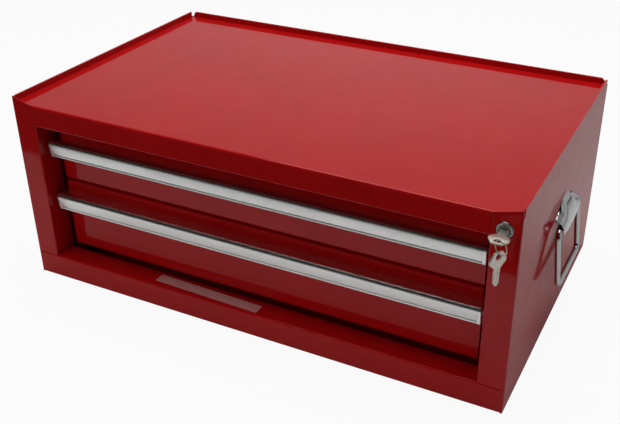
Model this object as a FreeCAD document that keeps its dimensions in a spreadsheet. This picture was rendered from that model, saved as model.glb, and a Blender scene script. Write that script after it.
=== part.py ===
"""Two-drawer top tool chest: folded sheet case, ball slides, bar lock and two side handles.

Frame: X runs along the width, Y along the depth with the front at -Y, and Z up.
The origin is the centre of the underside. Lengths are in millimetres.
"""
import FreeCAD, Part
import math
import os
import re

import Sketcher

VEC = FreeCAD.Vector
DOC = FreeCAD.newDocument("TopToolChest")

# Driving sizes: each one can be changed by itself.
DRIVING = {
    # Case
    "case_width": 660,
    "case_depth": 398,
    "case_height": 259.5,
    "sheet": 0.9,
    "lip_height": 7.5,
    "lip_thickness": 2.4,
    "lip_corner_gap": 4,
    "stile_width": 32.25,
    "stile_return": 33,
    "stile_slope": 30,
    "rail_height": 28,
    "rail_return": 14,
    "sill_height": 33,
    "shelf_depth": 30,
    "shelf_lip": 8,
    "corner_wrap": 2.5,
    "flange": 14,
    "seam": 0.1,
    "front_bend": 2.5,
    "corner_bend": 1.8,
    "relief_width": 3.5,
    "relief_drop": 2,
    "overcut": 1,
    # Uprights
    "post_inset": 2.75,
    "post_width": 34,
    "post_front_setback": 41,
    "post_back_setback": 25,
    "post_foot": 12,
    # Drawers
    "drawer_setback": 30,
    "drawer_side_gap": 9.55,
    "drawer_gap": 4,
    "sill_gap": 7,
    "rail_gap": 10,
    "upper_front_height": 73,
    "box_rise": 5,
    "box_drop": 8,
    "box_back_gap": 19,
    "box_hem": 6,
    "box_tab": 8,
    "front_return": 11,
    "front_edge": 2.5,
    # Drawer pulls
    "pull_drop": 13.5,
    "pull_height": 21,
    "pull_reach": 20,
    "pull_wall": 1.6,
    "pull_round": 4.5,
    "pull_flange": 15,
    "pull_lip": 2.6,
    "pull_setback": 2.2,
    "pull_groove": 0.7,
    "pull_cap": 4.5,
    "pull_screws": 4,
    "pull_screw_drop": 9,
    "pull_access": 10,
    "screw_diameter": 4,
    "screw_head_diameter": 7.6,
    "screw_head": 2.2,
    # Slides
    "slide_front_gap": 1,
    "slide_back_gap": 6,
    "slide_rise": 26,
    "slide_height": 35,
    "slide_thickness": 12.7,
    "slide_metal": 1,
    "slide_lip": 1.1,
    "ball_diameter": 3.2,
    "ball_play": 0.1,
    "cage_metal": 0.6,
    "cage_gap": 0.7,
    "outer_reach": 9.8,
    "middle_reach": 11.2,
    "hook_length": 9,
    "hook_height": 4,
    "hook_depth": 3,
    "cage_length": 150,
    # Lock
    "lock_inset": 17.8,
    "lock_drop": 17.4,
    "bezel_diameter": 18.6,
    "bezel_height": 1.8,
    "bezel_dish_depth": 0.7,
    "bezel_rim": 2,
    "barrel_diameter": 15.8,
    "barrel_length": 25,
    "barrel_play": 0.1,
    "nut_flats": 20,
    "nut_height": 3,
    "plug_diameter": 11,
    "plug_play": 0.05,
    "plug_tail": 2,
    "cam_thickness": 2,
    "cam_slot_play": 0.35,
    "cam_screw_head_diameter": 7,
    "cam_half_width": 2.8,
    "cam_pin_diameter": 4,
    "bar_thickness": 1.5,
    "bar_width": 14,
    "bar_gap": 5,
    "bar_offset": 3.2,
    "bar_end": 4.7,
    "finger_height": 7,
    "finger_clearance": 1,
    "finger_end_gap": 1.8,
    "catch_height": 7,
    "catch_rise": 1.5,
    "catch_metal": 1.2,
    "catch_foot": 15,
    "catch_reach": 9,
    "catch_play": 3,
    "guide_height": 12,
    "guide_foot": 3,
    "guide_rise": 8,
    "guide_metal": 1,
    "guide_play": 0.6,
    # Keys
    "key_thickness": 2,
    "key_bow_width": 22,
    "key_bow_length": 19,
    "key_end_width": 11,
    "key_cheek_start": 8.5,
    "key_cheek_end": 12.5,
    "key_blade_width": 8,
    "key_blade_length": 21,
    "key_hole": 7,
    "key_rim": 2.2,
    "key_standoff": 11.5,
    "key_point": 4,
    "key_tip_width": 2,
    "key_groove_width": 2.4,
    "key_groove_depth": 0.4,
    "ring_radius": 8.2,
    "ring_wire": 1.4,
    "ring_turn": 18,
    "ring_shift": 4.6,
    "ring_play": 0.9,
    "spare_turn": 66,
    "spare_play": 0.3,
    # Side handles
    "hood_centre": 1.5,
    "hood_bottom": 150,
    "hood_reach": 12.3,
    "hood_metal": 1,
    "hood_nose": 2,
    "hood_end_span": 83,
    "hood_end_height": 15,
    "hood_wing_span": 51,
    "hood_wing_height": 18,
    "hood_wing_skirt": 4,
    "hood_dome_span": 31,
    "hood_dome_height": 31.5,
    "hood_dome_skirt": 8,
    "hood_lug": 8,
    "hood_lug_rise": 20,
    "hood_screw_span": 22,
    "hood_screw_bite": 5.6,
    "bail_wire": 7,
    "bail_span": 98,
    "bail_length": 71,
    "bail_bend": 8,
    "bail_lean": 6,
    "bail_inset": 7,
    "bail_rise": 4.5,
}

# Places that follow from the driving sizes.
DERIVED = {
    "side_face": "case_width / 2",
    "side_inner": "side_face - sheet",
    "front_face": "-case_depth / 2",
    "front_inner": "front_face + sheet",
    "back_face": "case_depth / 2",
    "back_inner": "back_face - sheet",
    "tray_level": "case_height - lip_height",
    "stile_inner": "side_face - stile_width",
    "opening_top": "tray_level - rail_height",
    "stile_back": "front_face + stile_return",
    "post_face": "stile_inner - post_inset",
    "drawer_face": "front_face + drawer_setback",
    "front_half": "stile_inner - drawer_side_gap",
    "box_half": "post_face - slide_thickness",
    "box_inner": "box_half - sheet",
    "box_front": "drawer_face + front_return",
    "box_back": "back_face - box_back_gap",
    "lower_front_bottom": "sill_height + sill_gap",
    "lower_front_top": "upper_front_bottom - drawer_gap",
    "upper_front_bottom": "upper_front_top - upper_front_height",
    "upper_front_top": "opening_top - rail_gap",
    "lower_box_bottom": "lower_front_bottom + box_rise",
    "lower_box_top": "lower_front_top - box_drop",
    "upper_box_bottom": "upper_front_bottom + box_rise",
    "upper_box_top": "upper_front_top - box_drop",
    "lower_slide_level": "lower_box_bottom + slide_rise",
    "lower_catch_bottom": "lower_slide_level + slide_height / 2 + catch_rise",
    "lower_finger_bottom": "lower_catch_bottom + catch_height + finger_clearance",
    "lower_pull_top": "lower_front_top - pull_drop",
    "lower_pull_screw_z": "lower_pull_top - pull_screw_drop",
    "upper_slide_level": "upper_box_bottom + slide_rise",
    "upper_catch_bottom": "upper_slide_level + slide_height / 2 + catch_rise",
    "upper_finger_bottom": "upper_catch_bottom + catch_height + finger_clearance",
    "upper_pull_top": "upper_front_top - pull_drop",
    "upper_pull_screw_z": "upper_pull_top - pull_screw_drop",
    "slide_front": "box_front + slide_front_gap",
    "slide_back": "back_face - slide_back_gap",
    "slide_middle": "(slide_front + slide_back) / 2",
    "ball_way": "ball_diameter + 2 * ball_play",
    "lock_x": "side_face - lock_inset",
    "lock_z": "tray_level - lock_drop",
    "barrel_back": "front_face + barrel_length",
    "plug_front": "front_face - bezel_height + bezel_dish_depth",
    "plug_back": "barrel_back + plug_tail",
    "cam_back": "plug_back + cam_thickness",
    "bar_front": "cam_back + bar_gap",
    "bar_back": "bar_front + bar_thickness",
    "bar_travel": "catch_height + finger_clearance",
    "cam_pin_offset": "bar_travel / 2",
    "bar_left": "lock_x - bar_offset",
    "bar_right": "bar_left + bar_width",
    "catch_front": "bar_back + catch_play",
    "key_front": "front_face - key_standoff - key_bow_length",
    "key_length": "key_bow_length + key_blade_length",
    "key_tip": "key_front + key_length",
    "key_hole_y": "key_front + key_rim + key_hole / 2",
    "ring_x": "lock_x + ring_shift * cos(ring_turn * 1deg)",
    "ring_y": "key_hole_y - ring_shift * sin(ring_turn * 1deg)",
    "ring_z": "lock_z + key_thickness / 2 + ring_play + ring_wire / 2 - ring_radius",
    "spare_top": "ring_z - ring_radius + ring_wire / 2 + spare_play + key_rim",
    "bail_x": "side_face + bail_inset",
    "bail_z": "hood_bottom + bail_rise",
    "hood_screw_z": "hood_bottom + hood_lug_rise",
}

SIZE = DOC.addObject("Spreadsheet::Sheet", "Size")
for row, (alias, number) in enumerate(DRIVING.items(), start=1):
    SIZE.set(f"A{row}", alias)
    SIZE.set(f"B{row}", str(number))
    SIZE.setAlias(f"B{row}", alias)
DOC.recompute()

LEVELS = ("upper", "lower")
HOOD_SCREWS = ("hood_centre - hood_screw_span / 2", "hood_centre + hood_screw_span / 2")
HOOD_ENDS = ("hood_end", "0", "hood_end_height")
HOOD_WINGS = ("hood_wing", "hood_wing_skirt", "hood_wing_height")
HOOD_DOME = ("hood_dome", "hood_dome_skirt", "hood_dome_height")
PLANES = {"XY": ("XY_Plane", 1), "XZ": ("XZ_Plane", -1), "YZ": ("YZ_Plane", 1)}
PARTS = []

# Flats that stand for the round of the thin key ring and of the bails.
RING_SIDES = 8
BAIL_SIDES = 12


def formula(text):
    """Spell out a formula in the names of the sheet's cells."""
    def spell(match):
        word = match.group(0)
        if word in DRIVING:
            return "Size." + word
        if word in DERIVED:
            return "(" + formula(DERIVED[word]) + ")"
        return word
    return re.sub(r"[a-z_]+", spell, str(text))


def value(text):
    """The present value of a formula."""
    return float(SIZE.evalExpression(formula(text)))


def part(label):
    """A new sub-part, named after its node."""
    body = DOC.addObject("PartDesign::Body", label)
    body.Label = label
    PARTS.append(body)
    return body


def mirror(label, source):
    """The same piece on the other side of the chest."""
    twin = DOC.addObject("Part::Mirroring", label)
    twin.Label = label
    twin.Source = source
    twin.Normal = VEC(1, 0, 0)
    PARTS.append(twin)
    return twin


def circle(x, y, diameter):
    """A round loop for a sketch."""
    return {"x": x, "y": y, "diameter": diameter}


def box(x1, y1, x2, y2):
    """A rectangular loop for a sketch."""
    return [(x1, y1), (x2, y1), (x2, y2), (x1, y2)]


def flip(loop):
    """The same corners on the other side of the chest."""
    if isinstance(loop, dict):
        return dict(loop, x=f"-({loop['x']})")
    turned = []
    for corner in loop:
        arc = (corner[2], -corner[3]) if len(corner) > 2 else ()
        turned.append((f"-({corner[0]})", corner[1]) + arc)
    return turned


def rounded(corner, run_in, run_out, radius, turn):
    """A square corner replaced by an arc between its two runs."""
    x, y = corner
    start = (f"{x} - {run_in[0]} * ({radius})", f"{y} - {run_in[1]} * ({radius})")
    stop = (f"{x} + {run_out[0]} * ({radius})", f"{y} + {run_out[1]} * ({radius})")
    return [start + (radius, turn), stop]


def folded(path, metal, bends):
    """Outline of a sheet with square folds, its metal left (1) or right (-1) of the path.

    bends gives the outer radius of the corners that are rounded, by their number in the path.
    """
    places = [VEC(value(x), value(y), 0) for x, y in path]
    steps = [(b - a).normalize() for a, b in zip(places, places[1:])]
    runs = [(round(step.x), round(step.y)) for step in steps]
    near, far = [], []
    for index, (x, y) in enumerate(path):
        beside = {(-run[1] * metal, run[0] * metal) for run in runs[max(index - 1, 0):index + 1]}
        shift_x = sum(step[0] for step in beside)
        shift_y = sum(step[1] for step in beside)
        across = (f"{x} + {shift_x} * sheet", f"{y} + {shift_y} * sheet")
        if index not in bends:
            near.append([(x, y)])
            far.append([across])
            continue
        before, after = runs[index - 1], runs[index]
        turn = before[0] * after[1] - before[1] * after[0]
        radii = (bends[index], f"{bends[index]} - sheet")
        near_radius, far_radius = radii if turn == metal else radii[::-1]
        back_in, back_out = (-after[0], -after[1]), (-before[0], -before[1])
        near.append(rounded((x, y), before, after, near_radius, turn))
        far.append(rounded(across, back_in, back_out, far_radius, -turn))
    return sum(near, []) + sum(far[::-1], [])


def draw_circle(sketch, ring):
    """Add a bound circle to a sketch."""
    centre = VEC(value(ring["x"]), value(ring["y"]), 0)
    item = sketch.addGeometry(Part.Circle(centre, VEC(0, 0, 1), value(ring["diameter"]) / 2))
    bind(sketch, Sketcher.Constraint("DistanceX", -1, 1, item, 3, centre.x), ring["x"])
    bind(sketch, Sketcher.Constraint("DistanceY", -1, 1, item, 3, centre.y), ring["y"])
    bind(sketch, Sketcher.Constraint("Diameter", item, value(ring["diameter"])), ring["diameter"])


def bind(sketch, constraint, text):
    """Add a constraint whose size is a formula."""
    index = sketch.addConstraint(constraint)
    sketch.setExpression(f"Constraints[{index}]", formula(text))


def draw_loop(sketch, corners):
    """Add a closed bound outline. A corner (x, y, radius, turn) starts an arc, left for turn 1."""
    places = [VEC(value(corner[0]), value(corner[1]), 0) for corner in corners]
    ends = []
    for index, corner in enumerate(corners):
        first, last = places[index], places[(index + 1) % len(places)]
        if len(corner) == 2:
            ends.append((sketch.addGeometry(Part.LineSegment(first, last)), 1, 2))
            continue
        radius, turn = value(corner[2]), corner[3]
        half = (last - first) * 0.5
        right = VEC(half.y, -half.x, 0).normalize()
        rise = radius - math.sqrt(max(radius ** 2 - half.Length ** 2, 0))
        middle = first + half + right * (turn * rise)
        if turn > 0:
            ends.append((sketch.addGeometry(Part.Arc(first, middle, last)), 1, 2))
        else:
            ends.append((sketch.addGeometry(Part.Arc(last, middle, first)), 2, 1))
        bind(sketch, Sketcher.Constraint("Radius", ends[-1][0], radius), corner[2])
    for index, corner in enumerate(corners):
        item, start, _ = ends[index]
        before, _, stop = ends[index - 1]
        sketch.addConstraint(Sketcher.Constraint("Coincident", before, stop, item, start))
        place = places[index]
        bind(sketch, Sketcher.Constraint("DistanceX", -1, 1, item, start, place.x), corner[0])
        bind(sketch, Sketcher.Constraint("DistanceY", -1, 1, item, start, place.y), corner[1])


def draw(body, name, plane, loops, level):
    """Draw loops on one of the body's own planes, moved to a level on the axis across it."""
    sketch = body.newObject("Sketcher::SketchObject", name)
    role, sense = PLANES[plane]
    support = next(item for item in body.Origin.OriginFeatures if item.Role == role)
    sketch.AttachmentSupport = [(support, "")]
    sketch.MapMode = "FlatFace"
    sketch.setExpression("AttachmentOffset.Base.z", formula(f"{sense} * ({level})"))
    for loop in loops:
        if isinstance(loop, dict):
            draw_circle(sketch, loop)
        else:
            draw_loop(sketch, loop)
    return sketch


def pad(body, name, plane, loops, low, high):
    """Add metal between two levels."""
    level = low if PLANES[plane][1] > 0 else high
    feature = body.newObject("PartDesign::Pad", name)
    feature.Profile = draw(body, name + "_outline", plane, loops, level)
    feature.setExpression("Length", formula(f"({high}) - ({low})"))
    body.Tip = feature
    return feature


def pocket(body, name, plane, loops, low, high):
    """Take metal away between two levels."""
    level = high if PLANES[plane][1] > 0 else low
    feature = body.newObject("PartDesign::Pocket", name)
    feature.Profile = draw(body, name + "_outline", plane, loops, level)
    feature.setExpression("Length", formula(f"({high}) - ({low})"))
    body.Tip = feature
    return feature


def bevel(body, name, length, diameter, level):
    """Bevel the round edge of one diameter that lies at a level along Y."""
    DOC.recompute()
    base = body.Tip
    names = []
    for number, edge in enumerate(base.Shape.Edges, start=1):
        across = 2 * getattr(edge.Curve, "Radius", 0)
        if abs(across - value(diameter)) < 1e-4 and abs(edge.Vertexes[0].Y - value(level)) < 1e-4:
            names.append(f"Edge{number}")
    feature = body.newObject("PartDesign::Chamfer", name)
    feature.Base = (base, names)
    feature.setExpression("Size", formula(length))
    body.Tip = feature
    return feature


def side_panel(label, side):
    """Side sheet with its stile, stile return, rear flange and hemmed lip."""
    def at(loop):
        return loop if side > 0 else flip(loop)

    def span(low, high):
        return (low, high) if side > 0 else (f"-({high})", f"-({low})")

    panel = part(label)
    section = folded([("side_face - flange", "back_inner"), ("side_face", "back_inner"),
                      ("side_face", "front_face"), ("stile_inner", "front_face"),
                      ("stile_inner", "stile_back")],
                     -1, {1: "corner_bend", 2: "corner_bend", 3: "corner_bend"})
    pad(panel, label + "_fold", "XY", [at(section)], "0", "case_height")
    pocket(panel, label + "_return_ends", "XZ", [
        at(box("stile_inner - overcut", "opening_top", "stile_inner + 2 * corner_bend", "case_height + overcut")),
        at(box("stile_inner - overcut", "-overcut", "stile_inner + 2 * corner_bend", "sill_height + seam")),
    ], "front_inner", "stile_back + overcut")
    pocket(panel, label + "_front_trim", "XZ", [
        at(box("stile_inner - overcut", "-overcut", "side_face - corner_wrap", "sill_height + seam")),
        at([("stile_inner - overcut", "tray_level"), ("side_face - stile_slope", "tray_level"),
            ("side_face - corner_bend", "case_height"),
            ("side_face - corner_bend", "case_height + overcut"),
            ("stile_inner - overcut", "case_height + overcut")]),
    ], "front_face - overcut", "front_inner")
    pocket(panel, label + "_relief", "YZ",
           [box("front_face + corner_bend", "tray_level - relief_drop",
                "front_face + corner_bend + relief_width", "case_height + overcut")],
           *span("side_inner - overcut", "side_face + overcut"))
    pocket(panel, label + "_rear_trim", "XZ",
           [at(box("side_face - flange - overcut", "tray_level - flange - seam",
                   "side_face - corner_bend", "case_height + overcut"))],
           "back_inner - sheet", "back_face")
    pocket(panel, label + "_lip_end", "YZ",
           [box("back_inner - lip_corner_gap", "tray_level", "back_face", "case_height + overcut")],
           *span("side_inner - overcut", "side_face + overcut"))
    pad(panel, label + "_hem", "XZ",
        [at(box("side_face - lip_thickness", "tray_level + seam", "side_face - sheet", "case_height"))],
        "front_inner", "back_inner - lip_corner_gap")
    if side > 0:
        pocket(panel, label + "_lock_hole", "XZ",
               [circle("lock_x", "lock_z", "barrel_diameter + 2 * barrel_play")],
               "front_face - overcut", "front_inner")
    pocket(panel, label + "_hood_holes", "YZ",
           [circle(y, "hood_screw_z", "screw_diameter + 4 * seam") for y in HOOD_SCREWS],
           *span("side_inner - overcut", "side_face + overcut"))


def top_panel():
    """Tray floor, turned down in front as the top rail and flanged on its other three sides."""
    label = "top_panel"
    panel = part(label)
    section = folded([("front_face + rail_return", "opening_top"), ("front_face", "opening_top"),
                      ("front_face", "tray_level"), ("back_inner", "tray_level"),
                      ("back_inner", "tray_level - flange")],
                     -1, {1: "corner_bend", 2: "front_bend", 3: "corner_bend"})
    pad(panel, label + "_fold", "YZ", [section], "-side_inner + seam", "side_inner - seam")
    ends = box("stile_inner - seam", "opening_top - overcut", "side_face", "tray_level + overcut")
    pocket(panel, label + "_rail_ends", "XZ", [ends, flip(ends)],
           "front_face - overcut", "front_inner + seam")
    returns = box("stile_inner - seam", "opening_top - overcut", "side_face", "tray_level - sheet")
    pocket(panel, label + "_return_ends", "XZ", [returns, flip(returns)],
           "front_inner", "front_face + rail_return + overcut")
    flange = box("side_inner - seam - sheet", "tray_level - flange", "side_inner - seam", "tray_level - sheet")
    pad(panel, label + "_side_flanges", "XZ", [flange, flip(flange)],
        "stile_back", "back_inner - flange")
    rear = [("side_face", "back_face"), ("side_face - 2 * corner_bend", "back_face"),
            ("side_face - 2 * corner_bend", "back_inner - overcut"),
            ("side_inner - overcut", "back_inner - 2 * corner_bend"),
            ("side_face", "back_inner - 2 * corner_bend")]
    front = [("side_face", "front_face"), ("side_face - 2 * corner_bend", "front_face"),
             ("side_face", "front_face + 2 * corner_bend")]
    pocket(panel, label + "_corner_reliefs", "XY", [rear, flip(rear), front, flip(front)],
           "tray_level - flange - overcut", "tray_level + overcut")


def back_panel():
    """Flat back sheet with a hemmed lip and clipped lip corners."""
    label = "back_panel"
    panel = part(label)
    outline = [("-side_face", "0"), ("side_face", "0"), ("side_face", "tray_level"),
               ("side_face - lip_corner_gap", "tray_level"),
               ("side_face - lip_corner_gap", "case_height - lip_corner_gap"),
               ("side_face - 2 * lip_corner_gap", "case_height"),
               ("-side_face + 2 * lip_corner_gap", "case_height"),
               ("-side_face + lip_corner_gap", "case_height - lip_corner_gap"),
               ("-side_face + lip_corner_gap", "tray_level"), ("-side_face", "tray_level")]
    pad(panel, label + "_sheet", "XZ", [outline], "back_inner", "back_face")
    pad(panel, label + "_hem", "XZ",
        [box("-side_face + 2 * lip_corner_gap", "tray_level + seam",
             "side_face - 2 * lip_corner_gap", "case_height")],
        "back_face - lip_thickness", "back_inner")


def base_pan():
    """Floor sheet, turned up in front as the bottom rail and back in as the shelf."""
    label = "base_pan"
    pan = part(label)
    front = folded([("front_face + shelf_depth", "sill_height - shelf_lip"),
                    ("front_face + shelf_depth", "sill_height"), ("front_face", "sill_height"),
                    ("front_face", "0"), ("back_inner - sheet - seam", "0"),
                    ("back_inner - sheet - seam", "flange")],
                   1, {1: "corner_bend", 2: "front_bend", 3: "corner_bend", 4: "corner_bend"})
    pad(pan, label + "_fold", "YZ", [front], "-side_face + corner_wrap + seam",
        "side_face - corner_wrap - seam")
    flange = box("side_inner - seam - sheet", "sheet", "side_inner - seam", "flange")
    floor = box("side_face - corner_wrap - overcut", "0", "side_inner - seam", "sheet")
    pad(pan, label + "_side_flanges", "XZ", [flange, flip(flange)],
        "stile_back", "back_inner - flange")
    pad(pan, label + "_floor_edges", "XZ", [floor, flip(floor)],
        "stile_back", "back_inner - flange")


POST_ROWS = {
    "front": "front_face + post_front_setback",
    "rear": "back_face - post_back_setback - post_width",
}


def hook(middle, level, play):
    """Outline of a slide's hook, or of its slot when there is play around it."""
    return box(f"{middle} - hook_length / 2 - {play}", f"{level}_slide_level - hook_height / 2 - {play}",
               f"{middle} + hook_length / 2 + {play}", f"{level}_slide_level + hook_height / 2 + {play}")


def uprights():
    """Four hat-section uprights, spot welded to the side sheets, with slots for the slides."""
    for name, start in POST_ROWS.items():
        label = f"right_{name}_upright"
        post = part(label)
        section = folded([("side_inner - sheet", f"{start} - post_foot"),
                          ("side_inner - sheet", start), ("post_face", start),
                          ("post_face", f"{start} + post_width"),
                          ("side_inner - sheet", f"{start} + post_width"),
                          ("side_inner - sheet", f"{start} + post_width + post_foot")],
                         -1, {2: "corner_bend", 3: "corner_bend"})
        pad(post, label + "_hat", "XY", [section], "flange + seam", "tray_level - flange - seam")
        slots = [hook(f"{start} + post_width / 2", level, "seam") for level in LEVELS]
        pocket(post, label + "_hook_slots", "YZ", slots, "post_face - overcut", "post_face + sheet")
        mirror(f"left_{name}_upright", post)


def channel(level, web, reach, half, metal, lip):
    """Outline of a C-section slide member, its web towards the upright."""
    def at(depth, height):
        return (f"post_face - ({depth})", f"{level}_slide_level + ({height})")

    upper = [(f"{web}", f"{half}"), (f"{reach}", f"{half}"), (f"{reach}", f"{half} - {metal} - {lip}"),
             (f"{reach} - {metal}", f"{half} - {metal} - {lip}"), (f"{reach} - {metal}", f"{half} - {metal}"),
             (f"{web} + {metal}", f"{half} - {metal}")]
    if lip == "0":
        upper = [upper[0], upper[1], (f"{reach}", f"{half} - {metal}"), upper[-1]]
    lower = [(depth, f"-({height})") for depth, height in reversed(upper)]
    return [at(depth, height) for depth, height in upper + lower]


def slides(level):
    """Three-section ball slides: outer, middle and inner members with two ball cages."""
    half = "slide_height / 2"
    middle_web = "(slide_metal + cage_metal + 2 * cage_gap)"
    middle_half = "(slide_height / 2 - slide_metal - ball_way)"
    inner_half = "(slide_height / 2 - 2 * slide_metal - 2 * ball_way)"
    outer_cage_half = "(slide_height / 2 - slide_metal - ball_way / 2 + cage_metal / 2)"
    inner_cage_half = "(slide_height / 2 - 2 * slide_metal - 1.5 * ball_way + cage_metal / 2)"
    cage_front = "slide_middle - cage_length / 2"
    cage_back = "slide_middle + cage_length / 2"

    label = f"right_{level}_slide_outer"
    outer = part(label)
    pad(outer, label + "_channel", "XZ", [channel(level, "0", "outer_reach", half, "slide_metal", "slide_lip")],
        "slide_front", "slide_back")
    hooks = [hook(f"{start} + post_width / 2", level, "0") for start in POST_ROWS.values()]
    pad(outer, label + "_hooks", "YZ", hooks, "post_face", "post_face + hook_depth")
    mirror(f"left_{level}_slide_outer", outer)

    label = f"right_{level}_slide_middle"
    middle = part(label)
    pad(middle, label + "_channel", "XZ",
        [channel(level, middle_web, "middle_reach", middle_half, "slide_metal", "slide_lip")],
        "slide_front", "slide_back")
    mirror(f"left_{level}_slide_middle", middle)

    label = f"right_{level}_slide_inner"
    inner = part(label)
    flange_start = f"({middle_web} + slide_metal + cage_metal + 2 * cage_gap)"
    web = [("slide_thickness", inner_half), (flange_start, inner_half),
           (flange_start, f"({inner_half} - slide_metal)"),
           ("(slide_thickness - slide_metal)", f"({inner_half} - slide_metal)")]
    web += [(depth, f"-{height}") for depth, height in reversed(web)]
    pad(inner, label + "_channel", "XZ",
        [[(f"post_face - {depth}", f"{level}_slide_level + ({height})") for depth, height in web]],
        "slide_front", "slide_back")
    mirror(f"left_{level}_slide_inner", inner)

    cages = {
        "outer": ("(slide_metal + cage_gap)", "(outer_reach - slide_metal - cage_gap)", outer_cage_half),
        "inner": (f"({middle_web} + slide_metal + cage_gap)", "(middle_reach - slide_metal - cage_gap)",
                  inner_cage_half),
    }
    for name, (start, reach, cage_half) in cages.items():
        label = f"right_{level}_{name}_ball_cage"
        cage = part(label)
        pad(cage, label + "_strip", "XZ", [channel(level, start, reach, cage_half, "cage_metal", "0")],
            cage_front, cage_back)
        mirror(f"left_{level}_{name}_ball_cage", cage)


def drawer(level):
    """Folded drawer box with hemmed sides, its back wall, its double front and the lock catch."""
    bottom, top = f"{level}_box_bottom", f"{level}_box_top"
    label = f"{level}_drawer_box"
    tub = part(label)
    section = folded([("-box_half", top), ("-box_half", bottom), ("box_half", bottom), ("box_half", top)],
                     1, {})
    pad(tub, label + "_fold", "XZ", [section], "box_front", "box_back")
    hem = box("box_half - lip_thickness", f"{top} - box_hem", "box_inner", top)
    pad(tub, label + "_hems", "XZ", [hem, flip(hem)], "box_front", "box_back")
    tab = box("box_inner - box_tab", f"{bottom} + sheet", "box_inner", f"{top} - box_hem")
    pad(tub, label + "_tabs", "XZ", [tab, flip(tab)], "box_front", "box_front + sheet")

    label = f"{level}_drawer_back"
    wall = part(label)
    end = "box_inner - seam"
    section = folded([(f"-({end})", "box_back - flange"), (f"-({end})", "box_back"),
                      (end, "box_back"), (end, "box_back - flange")], -1, {})
    pad(wall, label + "_fold", "XY", [section], f"{bottom} + sheet + seam", f"{top} - box_hem - seam")

    label = f"{level}_drawer_front"
    front = part(label)
    low, high = f"{level}_front_bottom", f"{level}_front_top"
    section = folded([("box_front", f"{low} + sheet + seam"), ("box_front", high), ("drawer_face", high),
                      ("drawer_face", low), ("box_front", low)],
                     1, {1: "corner_bend", 2: "front_bend", 3: "front_bend"})
    pad(front, label + "_fold", "YZ", [section], "-front_half", "front_half")
    edge = box("front_half - sheet", f"{low} + front_bend", "front_half", f"{high} - front_bend")
    pad(front, label + "_side_edges", "XZ", [edge, flip(edge)], "drawer_face", "drawer_face + front_edge")
    notch = box("box_half", f"{low} + sheet", "front_half + overcut", f"{high} - sheet")
    pocket(front, label + "_notches", "XZ", [notch, flip(notch)],
           "drawer_face + front_edge", "box_front + overcut")
    screws = [circle(x, f"{level}_pull_screw_z", "screw_diameter + seam") for x in pull_screw_places()]
    pocket(front, label + "_screw_holes", "XZ", screws, "drawer_face - overcut", "drawer_face + sheet")
    access = [circle(x, f"{level}_pull_screw_z", "pull_access") for x in pull_screw_places()]
    pocket(front, label + "_access_holes", "XZ", access, "box_front - sheet", "box_front + overcut")

    label = f"{level}_lock_catch"
    catch = part(label)
    angle = [("box_half", "catch_front"), ("box_half + catch_reach", "catch_front"),
             ("box_half + catch_reach", "catch_front + catch_metal"),
             ("box_half + catch_metal", "catch_front + catch_metal"),
             ("box_half + catch_metal", "catch_front + catch_foot"), ("box_half", "catch_front + catch_foot")]
    pad(catch, label + "_angle", "XY", [angle], f"{level}_catch_bottom", f"{level}_catch_bottom + catch_height")


def pull_screw_places():
    """Where the pull's screws stand along the width."""
    count = int(value("pull_screws"))
    return [f"front_half * ({2 * index + 1 - count}) / pull_screws" for index in range(count)]


def pull(level):
    """Extruded aluminium pull with moulded end caps and screws from inside the drawer."""
    top = f"{level}_pull_top"
    bottom = f"({top} - pull_height)"
    face = "(drawer_face - pull_reach)"
    setback = f"({face} + pull_setback)"
    groove = f"({setback} + pull_groove)"
    shoulder = f"({bottom} + pull_lip + pull_groove)"
    nose = [("drawer_face", top), (f"{face} + pull_round", top, "pull_round", 1),
            (face, f"{top} - pull_round")]
    lip = [(setback, shoulder), (groove, shoulder), (groove, f"{bottom} + pull_lip"),
           (setback, f"{bottom} + pull_lip"), (setback, bottom)]
    inner_round = "(pull_round - pull_wall)"
    inside = [(f"{setback} + 2 * pull_wall", bottom), (f"{setback} + 2 * pull_wall", f"{bottom} + pull_wall"),
              (f"{setback} + pull_wall", shoulder),
              (f"{face} + pull_wall", f"{top} - pull_round", inner_round, -1),
              (f"{face} + pull_round", f"{top} - pull_wall"),
              ("drawer_face - pull_wall", f"{top} - pull_wall"),
              ("drawer_face - pull_wall", f"{top} - pull_flange"), ("drawer_face", f"{top} - pull_flange")]
    label = f"{level}_drawer_pull"
    grip = part(label)
    pad(grip, label + "_section", "YZ", [nose + lip + inside], "-front_half", "front_half")
    screws = [circle(x, f"{level}_pull_screw_z", "screw_diameter + seam") for x in pull_screw_places()]
    pocket(grip, label + "_screw_holes", "XZ", screws, "drawer_face - pull_wall", "drawer_face + overcut")

    label = f"right_{level}_pull_cap"
    cap = part(label)
    outline = nose + [(setback, shoulder), (setback, bottom), (f"{setback} + 2 * pull_wall", bottom),
                      ("drawer_face", f"{top} - pull_flange")]
    pad(cap, label + "_plate", "YZ", [outline], "front_half", "front_half + pull_cap")
    mirror(f"left_{level}_pull_cap", cap)

    label = f"{level}_pull_screws"
    screw = part(label)
    heads = [circle(x, f"{level}_pull_screw_z", "screw_head_diameter") for x in pull_screw_places()]
    shanks = [circle(x, f"{level}_pull_screw_z", "screw_diameter") for x in pull_screw_places()]
    seat = "drawer_face + sheet"
    pad(screw, label + "_heads", "XZ", heads, seat, f"{seat} + screw_head")
    pad(screw, label + "_shanks", "XZ", shanks, "drawer_face - pull_wall", seat)


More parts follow.
